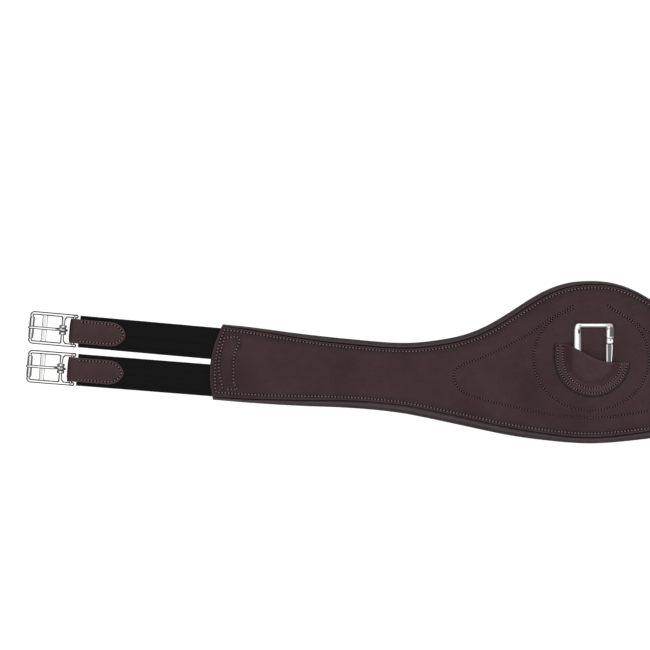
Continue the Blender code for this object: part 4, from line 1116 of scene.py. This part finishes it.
def build_straps():
    """Four straps, each with its elastic in two lengths, its chape and its buckle."""
    root_master = elastic_piece("root_master", ELASTIC_SPAN[0], ELASTIC_SPLIT, (False, True))
    run_master = elastic_piece("run_master", ELASTIC_SPLIT, ELASTIC_SPAN[1], (True, False))
    chape_master = chape_piece()
    tree = surface_of(chape_master)
    plan, along = paced(chape_row(), CHAPE_STITCH.pitch)
    row = Row()
    for down in (True, False):
        row.add(lay(tree, plan, along, down), CHAPE_STITCH, 14 if down else -14)
    row_master = row.make("row_master")
    frame_master = fused("frame_master", frame_parts(), voxel=0.34, rounds=6)
    tongue_master = fused("tongue_master", tongue_parts(), voxel=0.26, rounds=4)
    shadow_coil(tongue_master)
    roller_master = roller_piece()
    for label, space in strap_spaces().items():
        arm = "arm_" + label.split("_")[0]
        root = place(copy_of(root_master, f"elastic_root_{label}"), space)
        run = place(copy_of(run_master, f"elastic_run_{label}"), space)
        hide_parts(f"elastic_tail_{label}")
        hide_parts(f"elastic_{label}")
        for piece, bodies, span in ((root, (arm, f"strap_{label}"), STRAP_BEND),
                                    (run, (f"strap_{label}", f"chape_{label}"), STRETCH)):
            start, end = (strap_point(space, distance) for distance in span)
            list(bodies)
            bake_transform(piece)
            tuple(start)
            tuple(end)
        fixed = [(chape_master, "chape_leather", "chape", "face_leather", "chape"),
                 (row_master, "chape_stitches", None, "face_leather", "chape"),
                 (frame_master, "buckle_wire", "buckle_frame", "steel", "buckle"),
                 (tongue_master, "buckle_tongue", "tongue", "steel", "tongue"),
                 (roller_master, "buckle_roller", "roller", "steel", "roller")]
        for master, name, node, slot, body in fixed:
            piece = place(copy_of(master, f"{name}_{label}"), space)
            if node:
                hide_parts(f"{node}_{label}")
            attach(piece, f"{body}_{label}")
    masters = [root_master, run_master, chape_master, row_master, frame_master, tongue_master, roller_master]
    for master in masters:
        bpy.data.objects.remove(master)


# ---------------------------------------------------------------- pocket and snap hook
def mouth_y(x):
    """Height of the pocket's slanting mouth at x."""
    t = np.clip((x - MOUTH_SPAN[0]) / (MOUTH_SPAN[1] - MOUTH_SPAN[0]), 0, 1)
    fall = 0.5 * (t * t * (3 - 2 * t)) + 0.5 * (1 - (1 - t) ** 2)
    return POCKET_HIGH + (POCKET_LOW - POCKET_HIGH) * fall


def pocket_outline():
    """The sewn U, from its high corner round to its low corner."""
    cx, cy = POCKET_CENTRE
    low = math.degrees(math.asin((POCKET_LOW - cy) / POCKET_RADIUS))
    side = np.column_stack([np.full(14, cx - POCKET_RADIUS), np.linspace(POCKET_HIGH, cy, 15)[:-1]])
    return np.vstack([side, arc(POCKET_CENTRE, POCKET_RADIUS, 180, 360 + low, 130)])


def pocket_depth(x, y):
    """Distance inside the U."""
    cx, cy = POCKET_CENTRE
    return POCKET_RADIUS - np.where(y < cy, np.hypot(x - cx, y - cy), np.abs(x - cx))


def build_pocket():
    """The U-shaped patch, sewn flat round its edge and lifted over the snap hook."""
    edge = pocket_outline()
    last = len(edge) - 1
    steps = np.concatenate([[0, 0.0006, 0.003, 0.008, 0.018, 0.035], np.linspace(0.06, 0.94, 42),
                            [0.965, 0.982, 0.992, 0.997, 0.9994, 1]])
    mouth_x = edge[0, 0] + (edge[-1, 0] - edge[0, 0]) * np.arange(last + 1) / last
    mouth = np.column_stack([mouth_x, mouth_y(mouth_x)])
    grid = edge[:, None, :] + (mouth - edge)[:, None, :] * steps[None, :, None]
    x, y = grid[..., 0], grid[..., 1]
    depth = pocket_depth(x, y)
    to_mouth = distance_to(x, y, np.vstack([np.linspace(p, q, 6) for p, q in zip(mouth[:-1], mouth[1:])]))
    to_mouth[:, -1] = 0
    border = np.minimum(np.maximum(depth, 0), to_mouth)
    rise = POCKET_RISE * smooth(depth, 8.6, 21.5)
    rows = sum(hump(depth, at, 0.8) for at in POCKET_ROWS)
    base = FACE_TOP + 0.35 + rise
    thick = 1.6 - 0.30 * (1 - smooth(depth, 0.6, 3.0)) - 0.22 * rows + 0.10 * ripple(x, y, 12, 12, 7.7)
    rounded = swell(border, 0.6, 2.6)
    points, faces = shell(x, y, base, base + 0.7, base + thick, rounded)
    # Lighter along the mouth; painted shadow along the sewn U edge, a darker cut edge at the mouth, and
    # painted shade along the rows.
    worn = 0.5 * hump(to_mouth, 0.8, 0.5)
    dark = (1 - smooth(depth, 0.6, 1.5)) + 0.9 * (1 - smooth(to_mouth, 0.03, 0.3)) + 0.34 * rows
    patch = make("pocket_patch", points, faces, [STRAP_LEATHER],
                 {"dark": both(np.clip(dark, 0, 1)), "worn": both(worn)})
    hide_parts("snap_pocket")
    tree = surface_of(patch)
    row = Row()
    cx, cy = POCKET_CENTRE
    for at in POCKET_ROWS:
        radius = POCKET_RADIUS - at
        low = math.degrees(math.asin((mouth_y(cx + radius) - cy + 1.6) / radius))
        line = np.vstack([[(cx - radius, POCKET_HIGH - 2.2 - at * 0.12)],
                          arc(POCKET_CENTRE, radius, 180, 360 + low, 240)])
        row.add(lay(tree, *paced(line, POCKET_STITCH.pitch)), POCKET_STITCH, 24)
    stitches = row.make("pocket_stitches")
    for piece in (patch, stitches):
        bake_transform(piece)


def snap_parts():
    """The hook: a nose, a square bow, a spine, a bar for the keeper and a tang."""
    tip = [(19.75, 2.6, 1.5), (20.1, 3.4, 1.9), (20.9, 3.8, 2.1), (24.2, 3.8, 2.1), (25.2, 3.3, 1.8),
           (26.2, 3.3, 1.8)]
    stations = [(21.6, y, half_width, half_height) for y, half_width, half_height in tip]
    stations += [(21.9, 27.4, 4.1, 2.1), (22.1, 28.6, 4.45, 2.2), (22.2, 32.0, 4.5, 2.2)]
    stations.append((22.2, 37.0, 4.5, 2.2))
    stations += [(x, y, 2.9, 2.2) for x, y in arc((21.0, 37.8), 2.2, 20, 70, 3)]
    stations += [(18.0, 40.0, 2.2, 2.2), (4.0, 40.0, 2.2, 2.2), (-10.0, 40.0, 2.2, 2.2)]
    stations += [(x, y, 2.8, 2.2) for x, y in arc((-12.2, 37.6), 2.4, 110, 160, 3)]
    stations += [(-14.1, 35.0, 3.8, 2.2), (-14.1, 24.0, 3.9, 2.2), (-14.1, 12.0, 3.9, 2.2)]
    stations.append((-13.6, 0.0, 3.3, 2.1))
    stations += [(x, y, 2.2, 1.8) for x, y in arc((-8.6, SNAP_BAR_Y + 5.0), 5.0, 185, 265, 7)]
    stations += [(-6.2, SNAP_BAR_Y, 1.6, 1.6), (3.0, SNAP_BAR_Y, 1.6, 1.6), (12.5, SNAP_BAR_Y, 1.6, 1.6)]
    stations += [(x, y, 1.9, 1.7) for x, y in arc((14.9, SNAP_BAR_Y + 5.0), 5.0, 280, 345, 7)]
    stations += [(20.7, y, w, h) for y, w, h in ((-5.8, 2.3, 0.9), (-3.0, 2.3, 0.85), (-1.0, 2.1, 0.85),
                                                 (-0.2, 1.3, 0.8))]
    bow = [((x, y, SNAP_Z), w, h) for x, y, w, h in stations]
    return [bar(bow, squareness=0.42, count=36)]


def ease(hook):
    """Slopes the hook's upper face down towards its opening, and paints shade on its nose, neck, corners,
    inner edge and a spot on its tip.
    """
    left, top, right = -10.0, 37.7, 17.6
    opening = [(left, y) for y in np.arange(-9, top, 0.5)] + [(x, top) for x in np.arange(left, right, 0.5)]
    points = points_of(hook)
    x, y, z = points.T
    near = distance_to(x, y, opening)
    reach = np.where((y > top - 0.5) & (x > left), 1.5, 3.4)  # narrow at the top, wide beside the spine
    slope = 0.54 * np.clip(1 - near / reach, 0, 1) * smooth(y, -9, -2)
    points[:, 2] = np.where(z > SNAP_Z, SNAP_Z + (z - SNAP_Z) * (1 - slope), z)
    hook.data.vertices.foreach_set("co", (points * MM).astype(np.float32).ravel())
    nose = 0.88 * smooth(x, 20.6, 21.8) * smooth(y, 26.5, 28) * (1 - 0.45 * smooth(y, 37, 40))
    corner = 0.45 * smooth(x, 14.0, 21.0) * smooth(y, 37.5, 39.5)
    inner = 0.40 * (1 - smooth(near, 2.0, 3.0)) * (x < 0) * (1 - smooth(y, 33, 36))
    shaded = 0.93 * hump(x, -12.4, 1.7, 4) * hump(y, 33.4, 2.8, 4)
    neck = 0.95 * hump(y, 25.8, 0.7) * smooth(x, 19.0, 20.0)
    dimple = 0.9 * hump(np.hypot(x - 22.3, y - 23.7), 0, 1.1, 4)
    paint_steel_shade(hook, np.max([nose, corner, inner, shaded, neck, dimple], axis=0))


def paint_steel_shade(piece, level):
    """Paints shade onto the points of a broad steel piece, and keeps its sides free of the steel's painted
    side shade.
    """
    paint(piece, dark=level, worn=np.ones(len(level)))
    piece.data.update()


def gate_parts():
    """The gate's two cheeks, joined above the tang, with a channel down the front."""
    px, py = GATE_PIN
    plan = [(px, py - 3.1, 1.2), (px, py - 2.6, 2.2), (px, py - 1.2, 2.85), (px, py + 2.6, 3.1),
            (px + 0.3, py + 10, 3.35), (21.2, 15.5, 3.6), (21.2, 18.5, 3.6), (21.2, 19.1, 3.1)]
    cheeks = [bar([((x, y, SNAP_Z + z), w, 0.50) for x, y, w in plan], squareness=0.5) for z in (-1.62, 1.62)]
    solid = [((px + 0.1, py + 8.2, SNAP_Z), 3.1, 1.6)] + [((x, y, SNAP_Z), w, 1.6) for x, y, w in plan[4:]]
    rails = [bar([((x + off * (w - 0.75), y, SNAP_Z + 2.1), 0.8, 0.42) for x, y, w in plan[3:]], count=12)
             for off in (-1, 1)]
    return [*cheeks, bar(solid, squareness=0.5), *rails]


def pin_piece():
    """The gate's rivet, with a domed head on each cheek."""
    profile = [(2.05, 0.95), (2.1, 1.4), (2.3, 1.35), (2.62, 0.95), (2.75, 0.3)]
    profile = [(-z, r) for z, r in reversed(profile)] + profile
    angles = 2 * np.pi * np.arange(24) / 24
    rings = [np.column_stack([GATE_PIN[0] + r * np.cos(angles), GATE_PIN[1] + r * np.sin(angles),
                              np.full(24, SNAP_Z + z)]) for z, r in profile]
    points, faces = rings_to_mesh(rings)
    return make("gate_rivet", points, faces, [STEEL])


def keeper_piece():
    """The leather loop that holds the hook's bar, its plies running down into the pocket."""
    loop = 1.85
    low_z = SNAP_Z - loop
    lower = [(SNAP_BAR_Y - 9.5, low_z - 0.05), (SNAP_BAR_Y - 5, low_z), (SNAP_BAR_Y, low_z)]
    turn = [(SNAP_BAR_Y + loop * math.sin(t), SNAP_Z - loop * math.cos(t)) for t in np.linspace(0.3, 3.3, 14)]
    upper = [(SNAP_BAR_Y - 3.6, SNAP_Z + 0.7), (SNAP_BAR_Y - 6.5, low_z + 0.8),
             (SNAP_BAR_Y - 9.5, low_z + 0.4)]
    path = through(np.array(lower + turn + upper), 0.6)
    ahead = np.gradient(path, axis=0)
    run = np.cumsum(np.linalg.norm(ahead, axis=1))
    ahead /= np.linalg.norm(ahead, axis=1)[:, None]
    out = np.column_stack([ahead[:, 1], -ahead[:, 0]])
    half = 8.0
    edge = np.array([0, 0.02, 0.1, 0.3, 0.7, 1.4])
    across = np.concatenate([-half + edge, np.linspace(-5.6, 5.6, 17), half - edge[::-1]])
    depth = np.repeat(half - np.abs(across)[None, :], len(path), axis=0)
    rounded = swell(depth, 0.5, 2.6) * swell(np.minimum(run - run[0], run[-1] - run), 0.6, 2.6)[:, None]
    sheets = []
    for low, high in ((0.6, 1.15), (0.6, 0.05)):
        offset = low + (high - low) * rounded
        yz = path[:, None, :] + out[:, None, :] * offset[..., None]
        x = POCKET_CENTRE[0] + np.repeat(across[None, :], len(path), axis=0)
        sheets.append(np.stack([x, yz[..., 0], yz[..., 1]], -1))
    points, faces = sheet(*sheets)
    # Painted highlight near the edges; darker cut edges.
    worn = 0.45 * hump(depth, 0.7, 0.4)
    dark = 0.8 * (1 - smooth(depth, 0.03, 0.3))
    return make("hook_keeper", points, faces, [STRAP_LEATHER], {"dark": both(dark), "worn": both(worn)})


def build_snap():
    """The hook, its gate, rivet and keeper."""
    hook = fused("hook_body", snap_parts(), voxel=0.26, rounds=3)
    ease(hook)
    gate = fused("hook_gate", gate_parts(), voxel=0.24, rounds=3)
    x, y, z = points_of(gate).T
    # Painted shade down the channel in the gate's front.
    channel = 1 - smooth(np.abs(x - 21.1), 1.5, 2.1)
    paint_steel_shade(gate, 0.86 * channel * smooth(y, -4.5, -3.0) * (z > SNAP_Z))
    rivet = pin_piece()
    keeper = keeper_piece()
    pieces = ((hook, "snap_hook", "steel", "snap"), (gate, "snap_gate", "steel", "gate"),
              (rivet, "snap_gate_pin", "steel", "snap"), (keeper, "snap_keeper", "face_leather", "girth"))
    for piece, node, slot, body in pieces:
        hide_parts(node)
        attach(piece, body)
    spring = frame["nodes"]["snap_gate_spring"]
    spring.material_slots[0].material = STEEL


# ---------------------------------------------------------------- studio
def build_studio():
    """Pale floor, soft light and a camera straight above the left half."""
    scene = bpy.context.scene
    bpy.ops.mesh.primitive_plane_add(size=60, location=(0, 0, CAD_BOX[0].z - FLOOR_DROP))
    floor = bpy.context.object
    floor.name = "floor"
    floor.data.materials.append(floor_material())

    world = bpy.data.worlds.new("studio")
    scene.world = world
    world.use_nodes = True
    tree = world.node_tree
    background = tree.nodes["Background"]
    lights, ray, split, ramp, pick = (tree.nodes.new("ShaderNode" + kind) for kind in (
        "LightPath", "TexCoord", "SeparateXYZ", "MapRange", "Mix"))
    for key, value in (("From Min", -0.1), ("From Max", 1.0), ("To Min", 0.20), ("To Max", 0.45)):
        ramp.inputs[key].default_value = value
    pick.inputs[3].default_value = 1.05  # what the camera sees behind everything
    links = ((ray.outputs["Generated"], split.inputs[0]), (split.outputs["Z"], ramp.inputs["Value"]),
             (lights.outputs["Is Camera Ray"], pick.inputs[0]), (ramp.outputs["Result"], pick.inputs[2]),
             (pick.outputs[0], background.inputs["Strength"]))
    for output, socket in links:
        tree.links.new(output, socket)
    background.inputs["Color"].default_value = (1, 1, 1, 1)

    lamps = (("key", (-0.9, -1.6, 2.4), 2.6, 35.0), ("top", (0.3, 1.2, 2.8), 3.2, 37.0),
             ("far", (1.8, -0.3, 2.0), 2.2, 12.0))
    for name, place_at, size, power in lamps:
        data = bpy.data.lights.new(name, "AREA")
        data.shape = "DISK"
        data.size = size
        data.energy = power
        light = bpy.data.objects.new(name, data)
        light.location = place_at
        light.rotation_euler = (-Vector(place_at)).to_track_quat("-Z", "Y").to_euler()
        light.visible_camera = False
        scene.collection.objects.link(light)

    data = bpy.data.cameras.new("camera")
    data.lens = CAMERA_LENS
    data.sensor_width = CAMERA_SENSOR
    data.clip_end = 60
    camera = bpy.data.objects.new("camera", data)
    camera.location = CAMERA_AT
    scene.collection.objects.link(camera)
    scene.camera = camera
    scene.view_settings.view_transform = "Standard"


build_body()
build_straps()
build_pocket()
build_snap()
build_studio()
